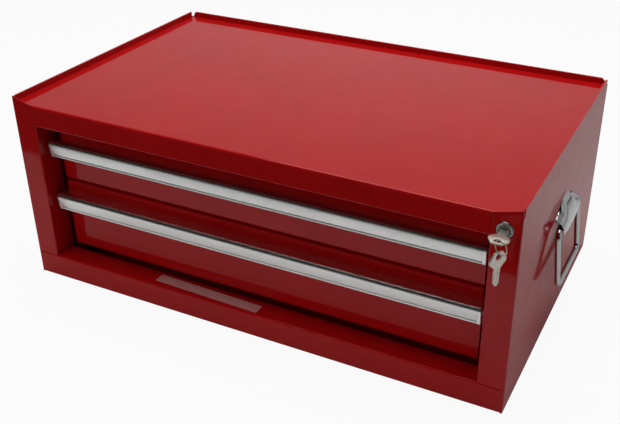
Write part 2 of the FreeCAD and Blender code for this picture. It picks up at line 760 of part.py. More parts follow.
def cylinder_lock():
    """Lock housing and nut, and the plug with its cam and screw."""
    housing = part("lock_housing")
    pad(housing, "bezel", "XZ", [circle("lock_x", "lock_z", "bezel_diameter")],
        "front_face - bezel_height", "front_face")
    pad(housing, "barrel", "XZ", [circle("lock_x", "lock_z", "barrel_diameter")], "front_face", "barrel_back")
    pocket(housing, "plug_bore", "XZ", [circle("lock_x", "lock_z", "plug_diameter + 2 * plug_play")],
           "front_face - bezel_height - overcut", "barrel_back")
    pocket(housing, "bezel_dish", "XZ", [circle("lock_x", "lock_z", "bezel_diameter - 2 * bezel_rim")],
           "front_face - bezel_height - overcut", "plug_front")
    bevel(housing, "bezel_bevel", "bezel_height / 2", "bezel_diameter", "front_face - bezel_height")

    nut = part("lock_nut")
    half = "nut_flats / 2"
    corner = "nut_flats / sqrt(3)"
    hexagon = [(f"lock_x + {corner}", "lock_z"), (f"lock_x + {corner} / 2", f"lock_z + {half}"),
               (f"lock_x - {corner} / 2", f"lock_z + {half}"), (f"lock_x - {corner}", "lock_z"),
               (f"lock_x - {corner} / 2", f"lock_z - {half}"), (f"lock_x + {corner} / 2", f"lock_z - {half}")]
    pad(nut, "hexagon", "XZ", [hexagon, circle("lock_x", "lock_z", "barrel_diameter + 2 * barrel_play")],
        "front_inner", "front_inner + nut_height")

    plug = part("lock_plug")
    pad(plug, "plug_round", "XZ", [circle("lock_x", "lock_z", "plug_diameter")], "plug_front", "plug_back")
    pocket(plug, "keyway", "XZ",
           [box("lock_x - key_blade_width / 2 - seam", "lock_z - key_thickness / 2 - seam",
                "lock_x + key_blade_width / 2 + seam", "lock_z + key_thickness / 2 + seam")],
           "plug_front - overcut", "key_tip + seam")

    cam = part("lock_cam")
    pin_x, pin_z, half = "lock_x + cam_pin_offset", "lock_z + cam_pin_offset", "cam_half_width"
    pad(cam, "cam_hub", "XZ", [circle("lock_x", "lock_z", "plug_diameter")], "plug_back", "cam_back")
    pad(cam, "cam_arm", "XZ",
        [[(f"lock_x + {half}", f"lock_z - {half}"), (f"{pin_x} + {half}", f"{pin_z} - {half}"),
          (f"{pin_x} - {half}", f"{pin_z} + {half}"), (f"lock_x - {half}", f"lock_z + {half}")]],
        "plug_back", "cam_back")
    pad(cam, "cam_end", "XZ", [circle(pin_x, pin_z, "cam_half_width * sqrt(8)")], "plug_back", "cam_back")
    pad(cam, "cam_pin", "XZ", [circle(pin_x, pin_z, "cam_pin_diameter")], "cam_back", "bar_back + overcut")

    screw = part("cam_screw")
    pad(screw, "cam_screw_head", "XZ", [circle("lock_x", "lock_z", "cam_screw_head_diameter")],
        "cam_back", "cam_back + screw_head")


def lock_bar():
    """Sheet bar with one finger for each drawer, hung on the cam pin, in two bridge guides."""
    label = "lock_bar"
    bar = part(label)
    low = "lower_finger_bottom - bar_end"
    high = "lock_z + cam_pin_offset + cam_pin_diameter / 2 + bar_end"
    finger_end = "box_half + finger_end_gap"
    outline = [("bar_right", low), ("bar_right", high), ("bar_left", high)]
    for level in LEVELS:
        top = f"{level}_finger_bottom + finger_height"
        base = f"{level}_finger_bottom"
        outline += [("bar_left", top), (finger_end, top), (finger_end, base), ("bar_left", base)]
    outline.append(("bar_left", low))
    pad(bar, label + "_plate", "XZ", [outline], "bar_front", "bar_back")
    reach = "(cam_pin_diameter / 2 + cam_slot_play)"
    slot = box(f"lock_x + cam_pin_offset - {reach}", f"lock_z + cam_pin_offset - {reach}",
               f"lock_x + cam_pin_offset * sqrt(2) + {reach}", f"lock_z + cam_pin_offset + {reach}")
    pocket(bar, label + "_slot", "XZ", [slot], "bar_front - overcut", "bar_back")

    label = "lock_bar_guides"
    guide = part(label)
    left, right, front = "(bar_left - guide_play)", "(bar_right + guide_play)", "(bar_front - guide_play)"
    post = "(front_face + post_front_setback)"
    bridge = [(f"{left} - guide_metal - guide_foot", f"{post} - guide_metal"),
              (f"{left} - guide_metal", f"{post} - guide_metal"),
              (f"{left} - guide_metal", f"{front} - guide_metal"),
              (f"{right} + guide_metal", f"{front} - guide_metal"),
              (f"{right} + guide_metal", f"{post} - guide_metal"),
              (f"{right} + guide_metal + guide_foot", f"{post} - guide_metal"),
              (f"{right} + guide_metal + guide_foot", post), (right, post), (right, front), (left, front),
              (left, post), (f"{left} - guide_metal - guide_foot", post)]
    for level in LEVELS:
        base = f"{level}_finger_bottom + finger_height + guide_rise"
        pad(guide, f"{label}_{level}", "XY", [bridge], base, f"{base} + guide_height")


def key(label, plane, middle, end, sense, low, high):
    """A flat key: bow with a ring hole, blade with a point and a groove on each face."""
    def at(across, along):
        return (f"{middle} + {across}", f"{end} + {sense} * ({along})")

    def both(corners):
        right = [at(across, along) for across, along in corners]
        left = [at(f"-({across})", along) for across, along in reversed(corners)]
        return right + left

    blank = part(label)
    pad(blank, label + "_blank", plane, [both([
        ("key_end_width / 2", "0"), ("key_bow_width / 2", "key_cheek_start"),
        ("key_bow_width / 2", "key_cheek_end"), ("key_blade_width / 2", "key_bow_length"),
        ("key_blade_width / 2", "key_length - key_point"), ("key_tip_width / 2", "key_length"),
    ])], low, high)
    pocket(blank, label + "_hole", plane, [circle(*at("0", "key_rim + key_hole / 2"), "key_hole")], low, high)
    groove = both([("key_groove_width / 2", "key_bow_length"),
                   ("key_groove_width / 2", "key_length - key_point")])
    pocket(blank, label + "_groove_near", plane, [groove], low, f"{low} + key_groove_depth")
    pocket(blank, label + "_groove_far", plane, [groove], f"{high} - key_groove_depth", high)
    return blank


def turn_about_z(body, angle):
    """Stand a body that is drawn on the axes at the ring's place, turned about Z."""
    body.Placement = FreeCAD.Placement(VEC(), FreeCAD.Rotation(VEC(0, 0, 1), 1))
    body.setExpression("Placement.Base.x", formula("ring_x"))
    body.setExpression("Placement.Base.y", formula("ring_y"))
    body.setExpression("Placement.Rotation.Angle", formula(f"({angle}) * 1deg"))


def many_sided(x, y, radius, sides):
    """Corners of a regular loop that stands for a round one."""
    turns = [360 * index / sides for index in range(sides)]
    return [(f"{x} + {radius} * cos({turn} * 1deg)", f"{y} + {radius} * sin({turn} * 1deg)") for turn in turns]


def keys():
    """The key in the plug, lying level, and a spare one that hangs from it on a wire ring."""
    key("inserted_key", "XY", "lock_x", "key_front", 1,
        "lock_z - key_thickness / 2", "lock_z + key_thickness / 2")
    spare = key("spare_key", "XZ", "0", "spare_top", -1, "-key_thickness / 2", "key_thickness / 2")
    turn_about_z(spare, "spare_turn")

    ring = part("key_ring")
    profile = draw(ring, "ring_section", "XY", [many_sided("ring_radius", "0", "ring_wire / 2", RING_SIDES)], "0")
    hoop = ring.newObject("PartDesign::Revolution", "ring_hoop")
    hoop.Profile = profile
    hoop.ReferenceAxis = (profile, ["V_Axis"])
    hoop.Angle = 360
    ring.Tip = hoop
    turn_about_z(ring, "-ring_turn")
    ring.setExpression("Placement.Base.z", formula("ring_z"))


def hood_section(body, name, form, side, inset):
    """One cross-section of the hood: open below, and bowed from its nose up to the side sheet."""
    span, skirt, height = form
    low = f"hood_bottom - {skirt} - 2 * {inset}"
    nose = "hood_bottom + hood_nose"
    reach = f"(hood_reach - {inset})"
    rise = f"({height} - hood_nose - {inset})"
    radius = f"({reach} ^ 2 + {rise} ^ 2) / (2 * {reach})"
    outline = [("side_face", low), (f"side_face + {reach}", low), (f"side_face + {reach}", nose, radius, 1),
               ("side_face", f"{nose} + {rise}")]
    return draw(body, name, "XZ", [outline], f"hood_centre + {side} * {span}_span / 2")


def hood_form(name, inset):
    """The hood's outside, or its hollow with an inset: low wings on each side of a dome."""
    body = DOC.addObject("PartDesign::Body", name)
    sections = []
    for number, (form, side) in enumerate(((HOOD_ENDS, -1), (HOOD_WINGS, -1), (HOOD_DOME, -1),
                                           (HOOD_DOME, 1), (HOOD_WINGS, 1), (HOOD_ENDS, 1))):
        sections.append(hood_section(body, f"{name}_section_{number}", form, side, inset))
    loft = body.newObject("PartDesign::AdditiveLoft", name + "_loft")
    loft.Profile = sections[0]
    loft.Sections = sections[1:]
    loft.Ruled = True
    body.Tip = loft
    return body


def side_handle():
    """Chromed hood pressed from sheet, with a wire bail through it."""
    hood = hood_form("hood_form", "0")
    pocket(hood, "hood_screw_bores", "YZ",
           [circle(y, "hood_screw_z", "screw_diameter + seam") for y in HOOD_SCREWS],
           "side_face - overcut", "side_face + hood_lug")
    hollow = hood_form("hood_hollow", "hood_metal")
    pocket(hollow, "hollow_lugs", "YZ", [circle(y, "hood_screw_z", "hood_lug") for y in HOOD_SCREWS],
           "side_face - overcut", "side_face + hood_reach")

    shell = DOC.addObject("Part::Cut", "right_handle_hood")
    shell.Label = "right_handle_hood"
    shell.Base = hood
    shell.Tool = hollow
    PARTS.append(shell)
    mirror("left_handle_hood", shell)

    label = "side_handle_screws"
    screw = part(label)
    heads = [circle(y, "hood_screw_z", "screw_head_diameter") for y in HOOD_SCREWS]
    shanks = [circle(y, "hood_screw_z", "screw_diameter") for y in HOOD_SCREWS]
    pad(screw, label + "_right_heads", "YZ", heads, "side_inner - screw_head", "side_inner")
    pad(screw, label + "_right_shanks", "YZ", shanks, "side_inner", "side_face + hood_screw_bite")
    pad(screw, label + "_left_heads", "YZ", heads, "-side_inner", "-side_inner + screw_head")
    pad(screw, label + "_left_shanks", "YZ", shanks, "-side_face - hood_screw_bite", "-side_inner")

    bail = part("right_handle_bail")
    low, high = "hood_centre - bail_span / 2", "hood_centre + bail_span / 2"
    spine = draw(bail, "bail_line", "YZ", [[
        (f"{low} + bail_bend", "-bail_length"), (f"{high} - bail_bend", "-bail_length", "bail_bend", 1),
        (high, "-bail_length + bail_bend"), (high, "-bail_bend", "bail_bend", 1),
        (f"{high} - bail_bend", "0"), (f"{low} + bail_bend", "0", "bail_bend", 1),
        (low, "-bail_bend"), (low, "-bail_length + bail_bend", "bail_bend", 1)]], "0")
    ring = draw(bail, "bail_section", "XZ", [many_sided("0", "-bail_length", "bail_wire / 2", BAIL_SIDES)],
                f"{low} + bail_bend")
    pipe = bail.newObject("PartDesign::AdditivePipe", "bail_wire")
    pipe.Profile = ring
    pipe.Spine = (spine, [])
    bail.Tip = pipe
    pad(bail, "bail_pivot", "XZ", [circle("0", "0", "bail_wire")], f"{low} + bail_bend", f"{high} - bail_bend")
    bail.Placement = FreeCAD.Placement(VEC(), FreeCAD.Rotation(VEC(0, 1, 0), 1))
    bail.setExpression("Placement.Base.x", formula("bail_x"))
    bail.setExpression("Placement.Base.z", formula("bail_z"))
    bail.setExpression("Placement.Rotation.Angle", formula("-bail_lean * 1deg"))
    mirror("left_handle_bail", bail)


side_panel("right_side_panel", 1)
side_panel("left_side_panel", -1)
top_panel()
back_panel()
base_pan()
uprights()
for level in LEVELS:
    slides(level)
    drawer(level)
    pull(level)
cylinder_lock()
lock_bar()
keys()
side_handle()

DOC.recompute()
for item in DOC.Objects:
    if {"Invalid", "Error"} & set(item.State):
        raise RuntimeError(f"{item.Label} failed: {item.State}")
    if item.TypeId == "PartDesign::Pocket" and item.Shape.Volume > item.BaseFeature.Shape.Volume - 1e-6:
        raise RuntimeError(f"{item.Label} cuts nothing")
for item in PARTS:
    if item.Shape.isNull() or not item.Shape.isValid():
        raise RuntimeError(f"{item.Label} has no valid shape")
os.makedirs("parts", exist_ok=True)
for item in PARTS:
    item.Shape.exportStep(f"parts/{item.Label}.step")
print(len(PARTS), "sub-parts written")
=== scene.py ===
"""Finishes, small hardware and the stage of the two-drawer top tool chest.

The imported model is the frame. Sheet-metal pieces keep their own meshes and get a finish, and the
drawn, turned and wire pieces are made again here with the roundness of the real ones.
"""

import math

import bmesh
import bpy
from mathutils import Matrix, Vector


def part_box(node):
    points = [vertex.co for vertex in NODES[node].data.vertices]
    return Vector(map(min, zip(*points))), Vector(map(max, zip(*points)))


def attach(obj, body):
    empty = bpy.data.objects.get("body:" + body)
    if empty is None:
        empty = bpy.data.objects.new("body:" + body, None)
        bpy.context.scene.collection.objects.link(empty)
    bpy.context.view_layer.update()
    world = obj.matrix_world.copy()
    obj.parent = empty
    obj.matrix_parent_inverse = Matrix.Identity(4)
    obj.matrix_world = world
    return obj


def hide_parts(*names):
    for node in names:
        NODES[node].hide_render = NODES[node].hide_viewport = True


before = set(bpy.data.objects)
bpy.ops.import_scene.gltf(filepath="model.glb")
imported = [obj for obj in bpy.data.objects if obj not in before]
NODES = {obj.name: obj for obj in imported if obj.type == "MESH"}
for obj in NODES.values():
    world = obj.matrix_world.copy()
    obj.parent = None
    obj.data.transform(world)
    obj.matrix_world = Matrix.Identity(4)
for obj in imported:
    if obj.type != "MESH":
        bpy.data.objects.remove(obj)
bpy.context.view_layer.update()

bl_info = {
    "name": "Two-drawer top chest",
    "version": (1, 1, 0),
    "blender": (4, 5, 0),
    "location": "3D View > Sidebar > Top chest",
    "description": "Finishes, small hardware and the stage of a two-drawer top tool chest",
    "category": "Object",
}

MM = 0.001
SIDES = (("left", -1), ("right", 1))
LEVELS = ("upper", "lower")

# Clearance round what turns or rolls, and the radius at which a turned piece's ends are closed
PLAY = 0.05 * MM
CORE = 0.02 * MM

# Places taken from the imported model
PULL = {level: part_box(f"{level}_drawer_pull") for level in LEVELS}
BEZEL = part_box("lock_housing")
LOCK_X = (BEZEL[0][0] + BEZEL[1][0]) / 2
LOCK_Z = (BEZEL[0][2] + BEZEL[1][2]) / 2
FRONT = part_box("right_side_panel")[0][1]
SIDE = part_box("right_side_panel")[1][0]


def length(label, description, size):
    """A length that the user can change, given in millimetres and kept in metres."""
    return bpy.props.FloatProperty(
        name=label, description=description, unit="LENGTH", default=size * MM, precision=5
    )


def tint(label, description, rgb):
    """A colour that the user can change."""
    return bpy.props.FloatVectorProperty(
        name=label, description=description, subtype="COLOR", size=3, min=0, max=1, default=rgb
    )


def turn(label, description, degrees):
    """An angle that the user can change, given in degrees."""
    return bpy.props.FloatProperty(
        name=label, description=description, subtype="ANGLE", default=math.radians(degrees)
    )


class ChestFinishes(bpy.types.PropertyGroup):
    """Colours of the chest's finishes, and the size of the powder coat's ripple."""

    powder: tint("Powder coat", "Colour of the gloss powder coat", (0.42, 0.0035, 0.0045))
    peel: length("Orange peel", "Wavelength of the powder coat's faint ripple", 2.2)
    aluminium: tint("Pull", "Colour of the satin anodised pulls", (0.90, 0.92, 0.90))
    chrome: tint("Chrome", "Colour of the bright plating of the handles and the lock", (0.48, 0.50, 0.49))
    nickel: tint("Keys", "Colour of the nickel-plated keys", (0.66, 0.62, 0.56))
    zinc: tint("Zinc", "Colour of the zinc plate on the slides and screws", (0.60, 0.60, 0.57))
    plug: tint("Plug", "Colour of the lock's plug", (0.46, 0.46, 0.40))
    film: tint("Film", "Colour of the frosted film", (0.85, 0.62, 0.62))


class ChestPulls(bpy.types.PropertyGroup):
    """Section of the extruded drawer pulls."""

    wall: length("Wall", "Thickness of the extrusion", 1.6)
    nose: length("Nose", "Radius between the pull's top and its face", 4.5)
    flange: length("Flange", "Height of the flange that is screwed to the drawer", 15)
    lip: length("Lip", "Height of the bead along the lower edge", 2.6)
    setback: length("Setback", "How far the lower edge lies behind the face's top", 2.2)
    groove: length("Groove", "Depth of the line above the bead", 0.7)
    edge: length("Edge", "Radius on the extrusion's small corners", 0.25)


class ChestHandles(bpy.types.PropertyGroup):
    """The pressed hoods and the wire bails on the sides."""

    middle: length("Middle", "Place of the handle along the depth", 1.5)
    bottom: length("Hood bottom", "Height of the wings' lower edge", 150)
    reach: length("Reach", "How far the hood stands out from the side", 12.3)
    metal: length("Metal", "Thickness of the hood's sheet", 1.0)
    nose: length("Nose", "Upright part of the hood above its lower edge", 2)
    end_span: length("Span", "Length of the hood from end to end", 83)
    end_height: length("End height", "Height of the hood at its open ends", 15)
    flare: length("Flare", "How far the hood's open ends turn out", 0.9)
    flare_span: length("Flare span", "How much of each end turns out", 3)
    fold: length("Fold", "Radius on the edges of the hood's sheet", 0.25)
    wing_span: length("Wing span", "Length between the feet of the dome", 62)
    wing_height: length("Wing height", "Height of the hood at the foot of its dome", 18)
    wing_skirt: length("Wing skirt", "How far the sheet reaches down at the foot of the dome", 4)
    dome_span: length("Dome span", "Length of the dome's crown", 22)
    dome_height: length("Dome height", "Height of the dome", 31.5)
    dome_skirt: length("Dome skirt", "How far the sheet reaches down under the dome", 8)
    lug: length("Lug", "Diameter of the two screw lugs under the dome", 8)
    lug_rise: length("Lug rise", "Height of the lugs above the wings' lower edge", 20)
    lug_span: length("Lug span", "Distance between the lugs", 22)
    lug_tall: length("Lug length", "How far the lugs stand out from the side", 5.6)
    wire: length("Bail wire", "Diameter of the bail's wire", 7)
    bail_span: length("Bail span", "Width of the bail between its legs' centres", 98)
    bail_length: length("Bail length", "Height of the bail between its wires' centres", 71)
    bail_bend: length("Bail bend", "Radius of the bail's corners", 8)
    bail_inset: length("Bail inset", "Distance of the bail's pivot from the side", 7)
    bail_rise: length("Bail rise", "Height of the bail's pivot above the hood's edge", 4.5)
    lean: turn("Lean", "How far the bail's foot hangs out from the side", 6)


class ChestKeys(bpy.types.PropertyGroup):
    """The two keys and the ring."""

    thickness: length("Thickness", "Thickness of the keys", 2)
    bow_width: length("Bow width", "Width of a key's bow", 22)
    bow_length: length("Bow length", "Length of a key's bow", 19)
    end_width: length("End width", "Width of the bow's end", 11)
    cheek_start: length("Cheek start", "Where the bow reaches its full width", 8.5)
    cheek_end: length("Cheek end", "Where the bow begins to narrow", 12.5)
    blade_width: length("Blade width", "Width of the blade", 8)
    blade_length: length("Blade length", "Length of the blade", 21)
    point: length("Point", "Length of the blade's point", 4)
    tip_width: length("Tip width", "Width of the blade's end", 2)
    hole: length("Hole", "Diameter of the hole for the ring", 7)
    rim: length("Rim", "Metal between the hole and the bow's end", 2.2)
    groove: length("Groove", "Width of the groove along the blade", 2.4)
    groove_depth: length("Groove depth", "Depth of the groove along the blade", 0.4)
    edge: length("Edge", "Rounding of the keys' edges", 0.3)
    cut: length("Cuts", "Depth of the deepest cut in the blade", 1.8)
    ring_radius: length("Ring radius", "Radius of the wire ring", 8.2)
    ring_wire: length("Ring wire", "Diameter of the ring's wire", 1.4)
    ring_turn: turn("Ring turn", "Turn of the ring about the upright", -30)
    spare_shift: length("Spare shift", "How far the hanging key has slid along the ring", 2)
    spare_turn: turn("Spare turn", "Turn of the hanging key about the upright", 60)


class ChestSmall(bpy.types.PropertyGroup):
    """Lock face, front frame, screws, balls and thin trim."""

    bezel_radius: length("Bezel", "Radius of the lock's bezel", 9.3)
    bezel_rim: length("Rim", "Width of the bezel's rolled rim", 2)
    bezel_height: length("Bezel height", "How far the bezel stands out", 1.8)
    dish: length("Dish", "Depth of the dish round the plug", 0.7)
    plug_radius: length("Plug", "Radius of the plug", 5.5)
    barrel_wall: length("Barrel wall", "Metal round the plug behind the bezel", 2.4)
    lock_drop: length("Lock drop", "How far the lock's middle lies below the tray", 17.4)
    stile: length("Stile", "Width of the two stiles", 32.25)
    rail: length("Rail", "Height of the top rail", 28)
    joint: length("Joint", "Width of the fill in the corner joints", 0.6)
    cage_metal: length("Cage metal", "Thickness of the ball cages' strip", 0.6)
    ball: length("Ball", "Diameter of the balls in the slides", 3.2)
    ball_pitch: length("Pitch", "Distance between the balls", 9)
    screw_head: length("Screw head", "Diameter of the pan heads", 7.6)
    screw_tall: length("Screw height", "Height of the pan heads", 2.2)
    screw_shank: length("Screw shank", "Diameter of the screws", 4)
    sheet: length("Sheet", "Thickness of the side's sheet", 0.9)
    film_length: length("Film length", "Length of the frosted film on the shelf", 154)
    film_width: length("Film width", "Width of the frosted film on the shelf", 15)
    film_thickness: length("Film thickness", "Thickness of the frosted film", 0.06)
    film_inset: length("Film inset", "How far the film's middle lies behind the front", 14.6)
    film_offset: length("Film offset", "Place of the film's middle along the width", -66)
    film_turn: turn("Film turn", "How far askew the film lies", -1.6)


class ChestView(bpy.types.PropertyGroup):
    """The camera, the lamps' strength, and the ends of the floor's paper and of its painted studio shade."""

    azimuth: turn("Azimuth", "The camera's turn round the chest, from straight in front", 25.375)
    elevation: turn("Elevation", "The camera's height above the horizon, as an angle", 28.742)
    roll: turn("Roll", "The camera's tilt about its line of sight", 0.447)
    distance: length("Distance", "From the camera to the point that it turns about", 1222.3)
    target: bpy.props.FloatVectorProperty(
        name="Target",
        description="The point that the camera turns about",
        subtype="TRANSLATION",
        unit="LENGTH",
        default=(0.04608, 0.0, 0.1094),
    )
    lens: bpy.props.FloatProperty(
        name="Lens", description="Focal length in millimetres on a 36 mm sensor", default=52.595
    )
    shift_x: bpy.props.FloatProperty(
        name="Shift X", description="Sideways shift of the lens, as a share of the frame", default=-0.0643
    )
    shift_y: bpy.props.FloatProperty(
        name="Shift Y", description="Upright shift of the lens, as a share of the frame", default=-0.0243
    )
    lamp_level: bpy.props.FloatProperty(
        name="Lamp level", description="How strongly the soft lamps light the chest", default=1.0
    )
    paper_end: length("Paper end", "Where the floor's paper ends in front of the chest", -475)
    # The floor past the paper is painted shade for gloss and bounce, and it turns paler again from here
    dark_end: length("Dark end", "Where the studio's floor gets paler again", -700)


# Objects and plain meshes


def in_scene(name, data):
    """A new object in the scene."""
    made = bpy.data.objects.new(name, data)
    bpy.context.scene.collection.objects.link(made)
    return made


def plain_mesh(work):
    """The mesh of a working object with its modifiers applied. The object goes."""
    bpy.context.view_layer.update()
    ready = work.evaluated_get(bpy.context.evaluated_depsgraph_get())
    mesh = bpy.data.meshes.new_from_object(ready)
    work.modifiers.clear()
    bpy.data.objects.remove(work)
    return mesh


def edited(mesh, change):
    """The mesh after a change made to it in a bmesh."""
    form = bmesh.new()
    form.from_mesh(mesh)
    change(form)
    form.to_mesh(mesh)
    form.free()
    return mesh


# Shader and geometry trees


class Value:
    """A socket that numbers and other sockets can be added to and multiplied by."""

    def __init__(self, tree, socket):
        self.tree = tree
        self.socket = socket

    def maths(self, operation, *terms):
        return self.tree.node("ShaderNodeMath", {"operation": operation}, dict(enumerate(terms)))

    def __add__(self, other):
        return self.maths("ADD", self, other)

    def __mul__(self, other):
        return self.maths("MULTIPLY", self, other)

    __radd__ = __add__
    __rmul__ = __mul__


class Tree:
    """A node tree under construction."""

    def __init__(self, tree):
        self.tree = tree
        self.tree.nodes.clear()

    def node(self, kind, settings=None, sockets=None, out=0):
        """Adds a node: its settings first, then the values or links of its sockets."""
        node = self.tree.nodes.new(kind)
        for name, setting in (settings or {}).items():
            setattr(node, name, setting)
        for name, value in (sockets or {}).items():
            if isinstance(value, Value):
                self.tree.links.new(value.socket, node.inputs[name])
            else:
                node.inputs[name].default_value = value
        return Value(self, node.outputs[out]) if node.outputs else None


class Surface(Tree):
    """The nodes of a material, a floor or the surroundings."""

    def place(self, scale=(1.0, 1.0, 1.0)):
        """Object coordinates in metres, stretched by scale."""
        raw = self.node("ShaderNodeTexCoord", out="Object")
        return self.node("ShaderNodeMapping", {}, {"Vector": raw, "Scale": scale})

    def noise(self, vector, size, detail=2.0, roughness=0.5):
        """Noise from 0 to 1 with features of the given size in metres."""
        sockets = {"Vector": vector, "Scale": 1.0 / size, "Detail": detail, "Roughness": roughness}
        return self.node("ShaderNodeTexNoise", {}, sockets)

    def cells(self, vector, size, out="Distance"):
        """Voronoi cells of the given size in metres."""
        return self.node("ShaderNodeTexVoronoi", {}, {"Vector": vector, "Scale": 1.0 / size}, out=out)

    def spread(self, value, low, high, start=0.0, end=1.0):
        """Maps value from low..high to start..end, held at both ends."""
        sockets = {"Value": value, "From Min": low, "From Max": high, "To Min": start, "To Max": end}
        return self.node("ShaderNodeMapRange", {"clamp": True}, sockets)

    def blend(self, factor, first, second):
        """Mixes two colours."""
        mixed = {0: factor, 6: colour(first), 7: colour(second)}
        return self.node("ShaderNodeMix", {"data_type": "RGBA"}, mixed, out=2)

    def tones(self, pattern, low, high, first, second):
        """The first colour where the pattern is under low, the second where it is over high."""
        return self.blend(self.spread(pattern, low, high), first, second)

    def bump(self, height, depth, under=None):
        """A bump of the given depth in metres."""
        sockets = {"Height": height, "Distance": depth, "Strength": 1.0}
        if under is not None:
            sockets["Normal"] = under
        return self.node("ShaderNodeBump", {}, sockets)

    def axis(self, vector, name):
        """One coordinate of a vector."""
        return self.node("ShaderNodeSeparateXYZ", {}, {0: vector}, out=name)


class Finish(Surface):
    """A material under construction."""

    def __init__(self, name):
        self.material = bpy.data.materials.new(name)
        self.material.use_nodes = True
        super().__init__(self.material.node_tree)

    def surface(self, **sockets):
        """Ends the material in one Principled shader."""
        named = {name.replace("_", " "): value for name, value in sockets.items()}
        shader = self.node("ShaderNodeBsdfPrincipled", {}, named)
        self.node("ShaderNodeOutputMaterial", {}, {"Surface": shader})


def colour(value):
    """A colour with its alpha, unless it is a socket."""
    return value if isinstance(value, Value) else (*tuple(value)[:3], 1.0)


def shade(rgb, factor):
    """A colour made lighter or darker."""
    return tuple(min(1.0, channel * factor) for channel in tuple(rgb)[:3])


class Growth(Tree):
    """A Geometry Nodes tree with named lengths and counts, that makes one plain mesh."""

    KINDS = {float: "NodeSocketFloat", int: "NodeSocketInt", bpy.types.Object: "NodeSocketObject"}

    def __init__(self, name, **inputs):
        super().__init__(bpy.data.node_groups.new(name, "GeometryNodeTree"))
        ends = self.tree.interface
        ends.new_socket("Geometry", in_out="OUTPUT", socket_type="NodeSocketGeometry")
        ends.new_socket("Geometry", in_out="INPUT", socket_type="NodeSocketGeometry")
        self.values = inputs
        for label, value in inputs.items():
            kind = next(made for base, made in self.KINDS.items() if isinstance(value, base))
            ends.new_socket(label, in_out="INPUT", socket_type=kind)
        self.given = self.tree.nodes.new("NodeGroupInput")

    def input(self, label):
        return Value(self, self.given.outputs[label])

    def vector(self, x=0.0, y=0.0, z=0.0):
        return self.node("ShaderNodeCombineXYZ", {}, {0: x, 1: y, 2: z})

    def finished(self, geometry, slot, smooth=False):
        """Ends the tree: real geometry, its shading and its material."""
        real = self.node("GeometryNodeRealizeInstances", {}, {0: geometry})
        if smooth:
            real = self.node("GeometryNodeSetShadeSmooth", {}, {"Geometry": real, "Shade Smooth": True})
        painted = self.node("GeometryNodeSetMaterial", {}, {"Geometry": real, "Material": finish_of(slot)})
        self.node("NodeGroupOutput", {}, {"Geometry": painted})

    def grown(self, base):
        """The plain mesh that the tree makes of a base mesh."""
        seed = in_scene(self.tree.name, base)
        modifier = seed.modifiers.new("growth", "NODES")
        modifier.node_group = self.tree
        for item in self.tree.interface.items_tree:
            if item.in_out == "INPUT" and item.name in self.values:
                modifier[item.identifier] = self.values[item.name]
        mesh = plain_mesh(seed)
        if not mesh.polygons:
            raise RuntimeError(f"{self.tree.name} made nothing")
        return mesh


# Finishes


def red_powder_coat(finish, colours):
    """Thick gloss powder coat: faint orange peel, slow changes of tone, fine dust."""
    here = finish.place()
    clouds = finish.noise(here, 90 * MM, detail=3.0)
    peel = finish.noise(here, colours.peel, detail=1.0)
    swell = finish.noise(here, 45 * MM, detail=1.0)
    grit = finish.cells(here, 7 * MM)
    specks = finish.spread(grit, 0.03, 0.06, 1.0, 0.0)
    haze = finish.noise(here, 20 * MM, detail=4.0, roughness=0.65)
    tone = finish.tones(clouds, 0.3, 0.7, shade(colours.powder, 0.95), shade(colours.powder, 1.05))
    dust = (0.50, 0.20, 0.18)
    ripple = finish.bump(peel, 0.006 * MM)
    finish.surface(
        Base_Color=finish.blend(specks * 0.05, tone, dust),
        Roughness=finish.spread(haze, 0.3, 0.7, 0.38, 0.48),
        Specular_IOR_Level=0.02,
        Normal=finish.bump(swell, 0.06 * MM, under=ripple),
        Coat_Weight=finish.spread(haze, 0.25, 0.75, 0.56, 0.50),
        Coat_Roughness=0.05,
        Coat_IOR=1.5,
        IOR=1.5,
    )


def satin_aluminium(finish, colours):
    """Anodised extrusion: fine die lines along its length and a soft white sheen."""
    along = finish.place(scale=(0.012, 1.0, 1.0))
    lines = finish.noise(along, 0.35 * MM, detail=2.0)
    patches = finish.noise(finish.place(), 30 * MM, detail=3.0)
    metal = colours.aluminium
    finish.surface(
        Base_Color=finish.tones(lines, 0.3, 0.7, shade(metal, 0.95), shade(metal, 1.04)),
        Metallic=1.0,
        Roughness=finish.spread(patches, 0.3, 0.7, 0.30, 0.36),
        Normal=finish.bump(lines, 0.003 * MM),
    )


def cap_metallic(finish, colours):
    """Moulded end caps, metallised and smooth."""
    grain = finish.noise(finish.place(), 1.2 * MM, detail=2.0)
    metal = colours.aluminium
    finish.surface(
        Base_Color=finish.tones(grain, 0.3, 0.7, shade(metal, 1.02), shade(metal, 1.08)),
        Metallic=1.0,
        Roughness=finish.spread(grain, 0.3, 0.7, 0.28, 0.34),
        Normal=finish.bump(grain, 0.005 * MM),
    )


def bright_chrome(finish, colours):
    """Bright plating with finger marks and shallow waves from the press."""
    here = finish.place()
    smears = finish.noise(here, 12 * MM, detail=5.0, roughness=0.6)
    waves = finish.noise(here, 12 * MM, detail=2.0)
    metal = colours.chrome
    finish.surface(
        Base_Color=finish.tones(smears, 0.35, 0.65, shade(metal, 0.92), shade(metal, 1.04)),
        Metallic=1.0,
        Roughness=finish.spread(smears, 0.3, 0.75, 0.04, 0.13),
        Normal=finish.bump(waves, 0.05 * MM),
    )


